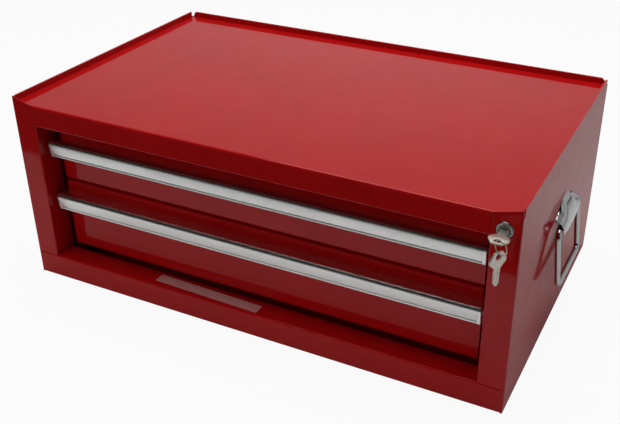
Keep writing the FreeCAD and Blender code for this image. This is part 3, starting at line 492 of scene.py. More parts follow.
def zinc_steel(finish, colours):
    """Zinc plate: small crystals, a faint yellow and blue cast, drawn lines."""
    here = finish.place()
    crystals = finish.cells(here, 4 * MM, out="Color")
    cast = finish.noise(here, 30 * MM, detail=2.0)
    bluish = (0.55, 0.58, 0.62)
    tone = finish.tones(cast, 0.35, 0.65, colours.zinc, bluish)
    lines = finish.noise(finish.place(scale=(1.0, 0.02, 1.0)), 0.6 * MM, detail=2.0)
    finish.surface(
        Base_Color=finish.blend(0.10, tone, crystals),
        Metallic=1.0,
        Roughness=finish.spread(lines, 0.3, 0.7, 0.26, 0.38),
        Normal=finish.bump(lines, 0.01 * MM),
    )


def nickel_key(finish, colours):
    """Nickel-plated brass blank: fine tumbling marks and rubbed edges."""
    marks = finish.noise(finish.place(scale=(1.0, 1.0, 0.2)), 0.8 * MM, detail=3.0)
    wear = finish.noise(finish.place(), 6 * MM, detail=4.0, roughness=0.65)
    brassy = (0.9, 0.8, 0.64)
    rubbed = tuple(channel * factor for channel, factor in zip(colours.nickel, brassy))
    finish.surface(
        Base_Color=finish.tones(wear, 0.45, 0.7, colours.nickel, rubbed),
        Metallic=0.8,
        Roughness=finish.spread(marks, 0.3, 0.7, 0.24, 0.38),
        Normal=finish.bump(marks, 0.02 * MM),
    )


def lock_brass(finish, colours):
    """Machined plug under thin plating."""
    turned = finish.noise(finish.place(scale=(1.0, 0.05, 1.0)), 0.4 * MM, detail=2.0)
    paler = (0.56, 0.56, 0.50)
    finish.surface(
        Base_Color=finish.tones(turned, 0.3, 0.7, colours.plug, paler),
        Metallic=1.0,
        Roughness=finish.spread(turned, 0.3, 0.7, 0.18, 0.30),
        Normal=finish.bump(turned, 0.01 * MM),
    )


def frosted_film(finish, colours):
    """Thin frosted film with a fine crinkle."""
    crinkle = finish.noise(finish.place(), 1.1 * MM, detail=4.0, roughness=0.7)
    finish.surface(
        Base_Color=finish.tones(crinkle, 0.42, 0.62, shade(colours.powder, 0.9), colours.film),
        Roughness=finish.spread(crinkle, 0.3, 0.7, 0.30, 0.60),
        Normal=finish.bump(crinkle, 0.12 * MM),
        IOR=1.45,
    )


FINISHES = (
    red_powder_coat,
    satin_aluminium,
    cap_metallic,
    bright_chrome,
    zinc_steel,
    nickel_key,
    lock_brass,
    frosted_film,
)


def finish_of(name):
    """The finished material of a slot."""
    material = bpy.data.materials.get(name + "_finish")
    if material is None:
        raise RuntimeError(f"the finish {name} hasn't been made")
    return material


# Shapes


def new_piece(name, mesh, slot, body, *nodes, finish=None):
    """Puts a mesh in the scene: its finish, the body that it rides and the nodes that it stands for."""
    piece = in_scene(name, mesh)
    mesh.name = name
    mesh.materials.clear()
    mesh.materials.append(finish_of(finish or slot))
    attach(piece, body)
    if nodes:
        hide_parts(*nodes)
    return piece


def mesh_of(build):
    """A plain mesh of what build makes in a bmesh, with its faces turned outwards."""
    def whole(form):
        build(form)
        bmesh.ops.remove_doubles(form, verts=form.verts, dist=1e-7)
        bmesh.ops.recalc_face_normals(form, faces=form.faces)

    return edited(bpy.data.meshes.new("shape"), whole)


def points_mesh(places):
    """A mesh of loose points."""
    mesh = bpy.data.meshes.new("places")
    mesh.from_pydata([tuple(place) for place in places], [], [])
    return mesh


def joined(meshes):
    """One mesh of several."""
    def gather(form):
        for mesh in meshes:
            form.from_mesh(mesh)

    return edited(bpy.data.meshes.new("joined"), gather)


def mirrored(mesh):
    """The same mesh on the other side of the chest."""
    other = mesh.copy()
    other.transform(Matrix.Scale(-1.0, 4, (1.0, 0.0, 0.0)))
    other.flip_normals()
    return other


def modified(mesh, *steps, operands=()):
    """The plain mesh after modifiers, each given as its kind and its settings."""
    piece = in_scene("work", mesh)
    for kind, settings in steps:
        modifier = piece.modifiers.new(kind.lower(), kind)
        for name, setting in settings.items():
            setattr(modifier, name, setting)
    made = plain_mesh(piece)
    for operand in operands:
        bpy.data.objects.remove(operand)
    return made


def smooth_by_angle(mesh, degrees=32.0):
    """Smooth shading except across edges sharper than the angle."""
    def soften(form):
        for face in form.faces:
            face.smooth = True
        for edge in form.edges:
            if len(edge.link_faces) == 2:
                edge.smooth = edge.calc_face_angle(0.0) < math.radians(degrees)

    return edited(mesh, soften)


def box_mesh(low, high):
    """A plain block between two corners."""
    def build(form):
        bmesh.ops.create_cube(form, size=1.0)
        for vertex in form.verts:
            vertex.co = [(a + b) / 2 + (b - a) * c for a, b, c in zip(low, high, vertex.co)]

    return mesh_of(build)


def spun(profile, sides, centre, axis):
    """A turned piece: its profile's radii and places along the axis, closed at both ends."""
    def build(form):
        rings = []
        for radius, along in profile:
            ring = []
            for index in range(sides):
                angle = 2 * math.pi * index / sides
                ring.append(form.verts.new((radius * math.cos(angle), radius * math.sin(angle), along)))
            rings.append(ring)
        for first, second in zip(rings, rings[1:]):
            for index in range(sides):
                after = (index + 1) % sides
                form.faces.new((first[index], first[after], second[after], second[index]))
        if profile[0] != profile[-1]:
            form.faces.new(rings[0])
            form.faces.new(rings[-1])

    mesh = mesh_of(build)
    mesh.transform(Vector(axis).to_track_quat("Z", "Y").to_matrix().to_4x4())
    mesh.transform(Matrix.Translation(Vector(centre)))
    return mesh


def rounded_outline(corners, steps=4):
    """Points along a polygon whose corners carry a radius each: (x, y, radius)."""
    points = []
    count = len(corners)
    for index, (x, y, radius) in enumerate(corners):
        here = Vector((x, y))
        before = Vector(corners[index - 1][:2]) - here
        after = Vector(corners[(index + 1) % count][:2]) - here
        if radius <= 0:
            points.append(here)
            continue
        half = before.angle(after) / 2
        reach = min(radius / math.tan(half), 0.49 * min(before.length, after.length))
        centre = here + (before.normalized() + after.normalized()).normalized() * reach / math.cos(half)
        start = here + before.normalized() * reach - centre
        end = here + after.normalized() * reach - centre
        sweep = start.angle_signed(end)
        for step in range(steps + 1):
            points.append(centre + Matrix.Rotation(-sweep * step / steps, 2) @ start)
    return points


def plate(outlines, thickness, edge):
    """A flat plate with rounded edges from closed outlines, the later ones as holes."""
    curve = bpy.data.curves.new("plate", "CURVE")
    curve.dimensions = "2D"
    curve.fill_mode = "BOTH"
    curve.extrude = thickness / 2 - edge
    curve.bevel_depth = edge
    curve.bevel_resolution = 2
    curve.offset = -edge
    for outline in outlines:
        spline = curve.splines.new("POLY")
        spline.points.add(len(outline) - 1)
        for point, place in zip(spline.points, outline):
            point.co = (place[0], place[1], 0.0, 1.0)
        spline.use_cyclic_u = True

    def close(form):
        bmesh.ops.remove_doubles(form, verts=form.verts, dist=1e-6)
        bmesh.ops.recalc_face_normals(form, faces=form.faces)

    return edited(plain_mesh(in_scene("plate", curve)), close)


def cut(mesh, tools):
    """The mesh with other meshes cut out of it."""
    operands = [in_scene("cutter", tool) for tool in tools]
    cuts = [{"object": operand, "operation": "DIFFERENCE", "solver": "EXACT"} for operand in operands]
    return modified(mesh, *(("BOOLEAN", settings) for settings in cuts), operands=operands)


def circle_points(x, y, radius, sides=28):
    """Points round a circle."""
    angles = [2 * math.pi * index / sides for index in range(sides)]
    return [Vector((x + radius * math.cos(angle), y + radius * math.sin(angle))) for angle in angles]


# From a drawing plane to its place on the chest: the columns are where local X, Y and Z point
ACROSS = Matrix(((0, 0, 1, 0), (1, 0, 0, 0), (0, 1, 0, 0), (0, 0, 0, 1)))
HANGING = Matrix(((1, 0, 0, 0), (0, 0, 1, 0), (0, -1, 0, 0), (0, 0, 0, 1)))


def loop_mesh(slot, width, height, bend, wire):
    """Wire bent into a rectangle with round corners, or into a ring where the bend is half its width."""
    loop = Growth("wire_loop", Width=width, Height=height, Bend=bend, Wire=wire)
    frame_line = loop.node(
        "GeometryNodeCurvePrimitiveQuadrilateral",
        {"mode": "RECTANGLE"},
        {"Width": loop.input("Width"), "Height": loop.input("Height")},
    )
    path = loop.node(
        "GeometryNodeFilletCurve",
        {"mode": "POLY"},
        {"Curve": frame_line, "Count": 16, "Radius": loop.input("Bend"), "Limit Radius": True},
    )
    section = loop.node(
        "GeometryNodeCurvePrimitiveCircle", {}, {"Resolution": 16, "Radius": loop.input("Wire") * 0.5}
    )
    bent = loop.node("GeometryNodeCurveToMesh", {}, {"Curve": path, "Profile Curve": section})
    loop.finished(bent, slot, smooth=True)
    return loop.grown(points_mesh([(0, 0, 0)]))


class CHEST_OT_finish_pieces(bpy.types.Operator):
    """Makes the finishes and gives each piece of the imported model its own"""

    bl_idname = "chest.finish_pieces"
    bl_label = "Finish the packed pieces"

    def execute(self, context):
        for make in FINISHES:
            make(Finish(make.__name__ + "_finish"), context.scene.chest_finishes)
        for node in NODES.values():
            for slot in node.material_slots:
                slot.material = finish_of(slot.material.name)
        return {"FINISHED"}


class CHEST_OT_pulls(bpy.types.Operator):
    """Draws the full-width extruded pulls and their moulded end caps"""

    bl_idname = "chest.pulls"
    bl_label = "Make the drawer pulls"

    def execute(self, context):
        sizes = context.scene.chest_pulls
        for level in LEVELS:
            low, high = PULL[level]
            mesh = self.bar(sizes, low, high)
            body = f"{level}_drawer"
            new_piece(f"{level}_pull_bar", mesh, "satin_aluminium", body, f"{level}_drawer_pull")
            cap_low, cap_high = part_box(f"right_{level}_pull_cap")
            cap = plate([self.cap_outline(sizes, low, high)], cap_high[0] - cap_low[0], 2 * sizes.edge)
            cap.transform(Matrix.Translation(((cap_low[0] + cap_high[0]) / 2, 0, 0)) @ ACROSS)
            smooth_by_angle(cap)
            for side, mesh in (("right", cap), ("left", mirrored(cap))):
                new_piece(f"{side}_{level}_cap", mesh, "cap_metallic", body, f"{side}_{level}_pull_cap")
        return {"FINISHED"}

    @staticmethod
    def lines(sizes, low, high):
        """Where the section's lines lie: face, lower edge, groove and the shoulder above it."""
        face = low[1]
        edge = face + sizes.setback
        return face, edge, edge + sizes.groove, low[2] + sizes.lip + sizes.groove

    def cap_outline(self, sizes, low, high):
        """The cap follows the outside of the bar."""
        face, edge, _, shoulder = self.lines(sizes, low, high)
        return rounded_outline([
            (high[1], high[2], 0.0), (face, high[2], sizes.nose), (edge, shoulder, 0.0),
            (edge, low[2], sizes.edge), (edge + 2 * sizes.wall, low[2], sizes.edge),
            (high[1], high[2] - sizes.flange, 0.0),
        ], steps=8)

    def bar(self, sizes, low, high):
        """The section's corners with their radii, rounded and drawn along the drawer by a tree."""
        face, edge, groove, shoulder = self.lines(sizes, low, high)
        back, top, bottom = high[1], high[2], low[2]
        wall, small = sizes.wall, sizes.edge
        corners = [
            (back, top, small), (face, top, sizes.nose), (edge, shoulder, small),
            (groove, shoulder, small), (groove, bottom + sizes.lip, small),
            (edge, bottom + sizes.lip, 2 * small), (edge, bottom, 2 * small),
            (edge + 2 * wall, bottom, small), (edge + 2 * wall, bottom + wall, small),
            (edge + wall, shoulder, 0.0), (face + wall, top - wall, sizes.nose - wall),
            (back - wall, top - wall, small), (back - wall, top - sizes.flange, small),
            (back, top - sizes.flange, small),
        ]
        base = bpy.data.meshes.new("pull_section")
        count = len(corners)
        edges = [(index, (index + 1) % count) for index in range(count)]
        base.from_pydata([(y, z, 0.0) for y, z, _ in corners], edges, [])
        radii = base.attributes.new("round", "FLOAT", "POINT")
        radii.data.foreach_set("value", [radius for _, _, radius in corners])

        bar = Growth("extruded_pull", Length=high[0] - low[0])
        line = bar.node("GeometryNodeMeshToCurve", {}, {0: bar.input("Geometry")})
        radius = bar.node("GeometryNodeInputNamedAttribute", {"data_type": "FLOAT"}, {"Name": "round"})
        section = bar.node(
            "GeometryNodeFilletCurve",
            {"mode": "POLY"},
            {"Curve": line, "Count": 5, "Radius": radius, "Limit Radius": True},
        )
        filled = bar.node("GeometryNodeFillCurve", {"mode": "NGONS"}, {0: section})
        along = {"Offset": bar.vector(z=1.0), "Offset Scale": bar.input("Length")}
        drawn = bar.node(
            "GeometryNodeExtrudeMesh", {"mode": "FACES"}, {"Mesh": filled, "Individual": False, **along}
        )
        bar.finished(drawn, "satin_aluminium")
        mesh = bar.grown(base)
        mesh.transform(Matrix.Translation((low[0], 0, 0)) @ ACROSS)

        def close(form):
            open_edges = [edge for edge in form.edges if edge.is_boundary]
            bmesh.ops.holes_fill(form, edges=open_edges, sides=0)
            bmesh.ops.recalc_face_normals(form, faces=form.faces)

        return smooth_by_angle(edited(mesh, close))


class CHEST_OT_lock(bpy.types.Operator):
    """Turns the lock's bezel and the plug with its keyway"""

    bl_idname = "chest.lock"
    bl_label = "Make the lock"
    sides = 72

    def execute(self, context):
        sizes = context.scene.chest_small
        centre = (LOCK_X, FRONT, LOCK_Z)
        bezel = spun(self.bezel_profile(sizes), self.sides, centre, (0, -1, 0))
        new_piece("lock_bezel", smooth_by_angle(bezel, 38), "bright_chrome", "case", "lock_housing")

        low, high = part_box("lock_plug")
        turned = spun(self.plug_profile(sizes, low, high), self.sides, centre, (0, -1, 0))
        keys = context.scene.chest_keys
        play = 0.1 * MM
        half, thick = keys.blade_width / 2 + play, keys.thickness / 2 + play
        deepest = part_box("inserted_key")[1][1]
        way_low = (LOCK_X - half, low[1] - MM, LOCK_Z - thick)
        way = box_mesh(way_low, (LOCK_X + half, deepest, LOCK_Z + thick))
        plug = smooth_by_angle(cut(turned, [way]), 30)
        new_piece("lock_face", plug, "lock_brass", "lock_plug", "lock_plug")
        return {"FINISHED"}

    @staticmethod
    def bezel_profile(sizes):
        """From the bore over the dish and the rolled rim to the flange and the barrel behind it."""
        crest, outer = sizes.bezel_height, sizes.bezel_radius
        rim, floor = outer - sizes.bezel_rim, crest - sizes.dish
        bore = sizes.plug_radius + PLAY
        barrel_radius, barrel = sizes.plug_radius + sizes.barrel_wall, FRONT - BEZEL[1][1]
        return [
            (bore, floor - 0.3 * MM), (bore + 0.25 * MM, floor), (rim - 0.6 * MM, floor + 0.05 * MM),
            (rim, floor + 0.25 * MM), (rim + 0.3 * MM, crest - 0.15 * MM), (rim + 0.7 * MM, crest),
            (rim + 1.1 * MM, crest - 0.03 * MM), (outer - 0.3 * MM, crest - 0.45 * MM),
            (outer - 0.05 * MM, crest - 0.95 * MM), (outer, 0.3 * MM), (outer, 0.0), (barrel_radius, 0.0),
            (barrel_radius, barrel), (bore, barrel), (bore, floor - 0.3 * MM),
        ]

    @staticmethod
    def plug_profile(sizes, low, high):
        """From the back over the outside to the face, which has a raised ring round its middle."""
        face, back, radius = FRONT - low[1], FRONT - high[1], sizes.plug_radius
        return [
            (CORE, back), (radius, back), (radius, face - 0.35 * MM),
            (radius - 0.12 * MM, face - 0.12 * MM), (radius - 0.4 * MM, face), (radius - 1.3 * MM, face),
            (radius - 1.5 * MM, face - 0.3 * MM), (CORE, face - 0.35 * MM),
        ]


class CHEST_OT_keys(bpy.types.Operator):
    """Cuts the two keys and bends the wire ring between them"""

    bl_idname = "chest.keys"
    bl_label = "Make the keys"
    cuts = (0.35, 0.8, 0.45, 1.0, 0.6)

    def execute(self, context):
        sizes = context.scene.chest_keys
        blank = self.key(sizes)
        inserted = blank.copy()
        inserted.transform(Matrix.Translation((LOCK_X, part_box("inserted_key")[0][1], LOCK_Z)))
        new_piece("key_in_lock", inserted, "nickel_key", "lock_plug", "inserted_key")

        low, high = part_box("key_ring")
        ring_place = Vector(a + b for a, b in zip(low, high)) / 2
        hang_x = ring_place.x - sizes.spare_shift
        hang = Matrix.Translation((hang_x, ring_place.y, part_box("spare_key")[1][2]))
        blank.transform(hang @ Matrix.Rotation(sizes.spare_turn, 4, "Z") @ HANGING)
        new_piece("hanging_key", blank, "nickel_key", "spare_key", "spare_key")

        width = 2 * sizes.ring_radius
        ring = loop_mesh("nickel_key", width, width, sizes.ring_radius, sizes.ring_wire)
        ring.transform(Matrix.Translation(ring_place) @ Matrix.Rotation(sizes.ring_turn, 4, "Z") @ HANGING)
        new_piece("wire_ring", ring, "nickel_key", "key_ring", "key_ring")
        return {"FINISHED"}

    def key(self, sizes):
        """A key in its own plane: along Y from the bow's end to the tip."""
        whole = sizes.bow_length + sizes.blade_length
        half = sizes.blade_width / 2
        right = [
            (sizes.end_width / 2, 0.0, 2.2 * MM), (sizes.bow_width / 2, sizes.cheek_start, 3.5 * MM),
            (sizes.bow_width / 2, sizes.cheek_end, 2.5 * MM), (half, sizes.bow_length, 1.5 * MM),
        ]
        tip = [(half, whole - sizes.point, 0.6 * MM), (sizes.tip_width / 2, whole, 0.4 * MM)]
        start = sizes.bow_length + 2.5 * MM
        pitch = (whole - sizes.point - start) / len(self.cuts)
        mouth, valley = 0.45 * pitch, 0.12 * pitch
        teeth = []
        for index, depth in enumerate(self.cuts):
            middle = start + pitch * (index + 0.5)
            inner = half - depth * sizes.cut
            teeth += [
                (half, middle - mouth, 0.0), (inner, middle - valley, 0.0),
                (inner, middle + valley, 0.0), (half, middle + mouth, 0.0),
            ]
        left = [(-x, y, radius) for x, y, radius in reversed(right + tip)]
        outline = rounded_outline(right + teeth + tip + left)
        hole = circle_points(0.0, sizes.rim + sizes.hole / 2, sizes.hole / 2)
        blank = plate([outline, hole], sizes.thickness, sizes.edge)
        grooves = []
        for side in (-1, 1):
            near = side * (sizes.thickness / 2 - sizes.groove_depth)
            far = side * (sizes.thickness / 2 + MM)
            grooves.append(box_mesh(
                (-sizes.groove / 2, sizes.bow_length - MM, min(near, far)),
                (sizes.groove / 2, whole - sizes.point, max(near, far)),
            ))
        return smooth_by_angle(cut(blank, grooves), 40)


class CHEST_OT_handles(bpy.types.Operator):
    """Presses the side hoods and bends the wire bails"""

    bl_idname = "chest.handles"
    bl_label = "Make the side handles"
    along = 84
    round = 20
    lug_sides = 24

    def execute(self, context):
        sizes = context.scene.chest_handles
        hood = self.hood(sizes)
        bail = loop_mesh("bright_chrome", sizes.bail_span, sizes.bail_length, sizes.bail_bend, sizes.wire)
        pivot = Matrix.Translation((SIDE + sizes.bail_inset, 0, sizes.bottom + sizes.bail_rise))
        hanging = Matrix.Translation((0, sizes.middle, -sizes.bail_length / 2))
        bail.transform(pivot @ Matrix.Rotation(-sizes.lean, 4, "Y") @ hanging @ ACROSS)
        for side, cover, wire in (("right", hood, bail), ("left", mirrored(hood), mirrored(bail))):
            new_piece(f"{side}_hood", cover, "bright_chrome", "case", f"{side}_handle_hood")
            new_piece(f"{side}_bail_wire", wire, "bright_chrome", f"{side}_bail", f"{side}_handle_bail")
        return {"FINISHED"}

    @staticmethod
    def form(sizes, off_middle):
        """Height and skirt of the hood at a distance from its middle: flat wings, and a dome between."""
        end, wing, dome = sizes.end_span / 2, sizes.wing_span / 2, sizes.dome_span / 2
        if off_middle >= wing:
            share = (end - off_middle) / (end - wing)
            height = sizes.end_height + share * (sizes.wing_height - sizes.end_height)
            return height, share * sizes.wing_skirt
        share = min(1.0, (wing - off_middle) / (wing - dome))
        share = share * share * (3 - 2 * share)
        height = sizes.wing_height + share * (sizes.dome_height - sizes.wing_height)
        return height, sizes.wing_skirt + share * (sizes.dome_skirt - sizes.wing_skirt)

    def section(self, sizes, off_middle):
        """One cross-section: up the front, round the nose and over to the side sheet."""
        height, skirt = self.form(sizes, off_middle)
        rise = height - sizes.nose
        radius = (sizes.reach**2 + rise**2) / (2 * sizes.reach)
        sweep = math.acos((radius - sizes.reach) / radius)
        flare = sizes.flare * max(0.0, 1 - (sizes.end_span / 2 - off_middle) / sizes.flare_span) ** 2
        points = [(sizes.reach + flare, height) for height in (-skirt, -skirt / 2, sizes.nose / 2)]
        for step in range(self.round + 1):
            angle = sweep * step / self.round
            reach = sizes.reach - radius + (radius + flare) * math.cos(angle)
            points.append((max(reach, 0.0), sizes.nose + (radius + flare) * math.sin(angle)))
        return points

    def hood(self, sizes):
        """The sheet, its thickness and round edges, and the two screw lugs inside."""
        def build(form):
            rows = []
            for index in range(self.along + 1):
                off = sizes.end_span * (index / self.along - 0.5)
                place = sizes.middle + off
                section = self.section(sizes, abs(off))
                rows.append([form.verts.new((SIDE + x, place, sizes.bottom + z)) for x, z in section])
            for first, second in zip(rows, rows[1:]):
                for k in range(len(first) - 1):
                    form.faces.new((first[k], second[k], second[k + 1], first[k + 1]))

        sheet = mesh_of(build)
        if sum(polygon.normal.x for polygon in sheet.polygons) < 0:
            sheet.flip_normals()
        rounding = {"width": sizes.fold, "segments": 2, "angle_limit": math.radians(50)}
        shell = modified(
            sheet,
            ("SOLIDIFY", {"thickness": sizes.metal, "offset": -1.0, "use_even_offset": True}),
            ("BEVEL", {"limit_method": "ANGLE", **rounding}),
        )
        lugs = []
        for side in (-1, 1):
            across = sizes.middle + side * sizes.lug_span / 2
            foot = (SIDE + PLAY, across, sizes.bottom + sizes.lug_rise)
            radius, tall = sizes.lug / 2, sizes.lug_tall
            profile = [(CORE, 0.0), (radius, 0.0), (radius, tall), (CORE, tall)]
            lugs.append(spun(profile, self.lug_sides, foot, (1, 0, 0)))
        return smooth_by_angle(joined([shell, *lugs]), 36)


class CHEST_OT_slides(bpy.types.Operator):
    """Fills the slides' cages with balls"""

    bl_idname = "chest.slides"
    bl_label = "Fill the ball cages"

    def execute(self, context):
        sizes = context.scene.chest_small
        inset = sizes.cage_metal / 2
        for level in LEVELS:
            for run in ("outer", "inner"):
                rows = []
                for side, _ in SIDES:
                    low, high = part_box(f"{side}_{level}_{run}_ball_cage")
                    middle = (low[0] + high[0]) / 2
                    span = high[1] - low[1]
                    first = low[1] + 0.5 * (span % sizes.ball_pitch)
                    rows += [(middle, first, low[2] + inset), (middle, first, high[2] - inset)]
                mesh = self.balls(sizes, rows, int(span / sizes.ball_pitch) + 1)
                new_piece(f"{level}_{run}_balls", mesh, "zinc_steel", f"{level}_{run}_cages")
        return {"FINISHED"}

    def balls(self, sizes, rows, count):
        """A row of balls from each starting point."""
        tree = Growth("ball_rows", Count=count, Pitch=sizes.ball_pitch, Radius=sizes.ball / 2 - PLAY)
        step = tree.vector(y=tree.input("Pitch"))
        run = {"Count": tree.input("Count"), "Offset": step}
        line = tree.node("GeometryNodeMeshLine", {"mode": "OFFSET"}, run)
        starts = {"Points": tree.input("Geometry"), "Instance": line}
        places = tree.node("GeometryNodeInstanceOnPoints", {}, starts)
        places = tree.node("GeometryNodeRealizeInstances", {}, {0: places})
        shape = {"Radius": tree.input("Radius"), "Subdivisions": 2}
        ball = tree.node("GeometryNodeMeshIcoSphere", {}, shape)
        balls = tree.node("GeometryNodeInstanceOnPoints", {}, {"Points": places, "Instance": ball})
        tree.finished(balls, "zinc_steel", smooth=True)
        return tree.grown(points_mesh(rows))


class CHEST_OT_screws(bpy.types.Operator):
    """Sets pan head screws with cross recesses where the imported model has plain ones"""

    bl_idname = "chest.screws"
    bl_label = "Set the screws"
    sides = 24

    def execute(self, context):
        sizes = context.scene.chest_small
        for level in LEVELS:
            low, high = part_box(f"{level}_pull_screws")
            pull_low, pull_high = PULL[level]
            share = (pull_high[0] - pull_low[0]) / 4
            middle = (low[2] + high[2]) / 2
            places = [(share * (index - 1.5), high[1], middle) for index in range(4)]
            mesh = self.row(self.screw(sizes, high[1] - low[1], (0, 1, 0)), places)
            new_piece(f"{level}_pull_fixings", mesh, "zinc_steel", f"{level}_drawer", f"{level}_pull_screws")
        self.handle_screws(context, sizes)
        return {"FINISHED"}

    def handle_screws(self, context, sizes):
        """Two screws from inside into each hood."""
        handles = context.scene.chest_handles
        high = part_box("side_handle_screws")[1][0]
        inner = SIDE - sizes.sheet - sizes.screw_tall
        rows = []
        for _, side in SIDES:
            screw = self.screw(sizes, high - inner, (-side, 0, 0))
            level = handles.bottom + handles.lug_rise
            places = [
                (side * inner, handles.middle + half * handles.lug_span / 2, level) for half in (-1, 1)
            ]
            rows.append(self.row(screw, places))
        new_piece("handle_fixings", joined(rows), "zinc_steel", "case", "side_handle_screws")

    def screw(self, sizes, tall, axis):
        """A pan head at the origin that faces along the axis, with its shank behind it."""
        head, shank, deep = sizes.screw_head / 2, sizes.screw_shank / 2, sizes.screw_tall
        profile = [
            (CORE, 0.0), (0.45 * head, -0.04 * MM), (0.75 * head, -0.3 * MM), (0.93 * head, -0.8 * MM),
            (head, -1.5 * MM), (head, -deep), (shank, -deep), (shank, -tall + 0.5 * MM),
            (0.7 * shank, -tall), (CORE, -tall),
        ]
        body = spun(profile, self.sides, (0, 0, 0), (0, 0, 1))
        arm, wide, recess = 0.55 * head, 0.36 * MM, 1.2 * MM
        cross = [
            box_mesh((-arm, -wide, -recess), (arm, wide, MM)),
            box_mesh((-wide, -arm, -recess), (wide, arm, MM)),
        ]
        made = smooth_by_angle(cut(body, cross), 35)
        made.transform(Vector(axis).to_track_quat("Z", "Y").to_matrix().to_4x4())
        return made

    def row(self, screw, places):
        """The screw at each place."""
        pattern = in_scene("screw", screw)
        tree = Growth("screw_row", Screw=pattern)
        given = {"Object": tree.input("Screw")}
        shape = tree.node("GeometryNodeObjectInfo", {"transform_space": "ORIGINAL"}, given, out="Geometry")
        starts = {"Points": tree.input("Geometry"), "Instance": shape}
        screws = tree.node("GeometryNodeInstanceOnPoints", {}, starts)
        tree.finished(screws, "zinc_steel")
        mesh = tree.grown(points_mesh(places))
        bpy.data.objects.remove(pattern)
        return mesh


class CHEST_OT_trim(bpy.types.Operator):
    """Fills the welded corner joints and lays the frosted film on the shelf"""

    bl_idname = "chest.trim"
    bl_label = "Fill the joints and lay the film"

    def execute(self, context):
        sizes = context.scene.chest_small
        tray = LOCK_Z + sizes.lock_drop
        half, proud, gap, bend = sizes.joint / 2, 0.003 * MM, 0.1 * MM, 2.4 * MM
        fills = []
        for _, side in SIDES:
            middle = side * (SIDE - sizes.stile)
            fills.append(box_mesh(
                (middle - half, FRONT - proud, tray - sizes.rail + gap),
                (middle + half, FRONT + half, tray - bend),
            ))
        new_piece("joint_fill", joined(fills), "red_powder_coat", "case")

        half_length, half_width = sizes.film_length / 2, sizes.film_width / 2
        outline = rounded_outline([
            (-half_length, -half_width, MM), (half_length, -half_width, MM),
            (half_length, half_width, MM), (-half_length, half_width, MM),
        ])
        film = plate([outline], sizes.film_thickness, sizes.film_thickness / 3)
        above = Vector((sizes.film_offset, FRONT + sizes.film_inset, 100 * MM))
        hit, place, _, _ = NODES["base_pan"].ray_cast(above, Vector((0, 0, -1)))
        if not hit:
            raise RuntimeError("the film has no shelf under it")
        lift = Vector((0, 0, sizes.film_thickness / 2 + 0.002 * MM))
        film.transform(Matrix.Translation(place + lift) @ Matrix.Rotation(sizes.film_turn, 4, "Z"))
        new_piece("shelf_film", film, "red_powder_coat", "case", finish="frosted_film")
        return {"FINISHED"}


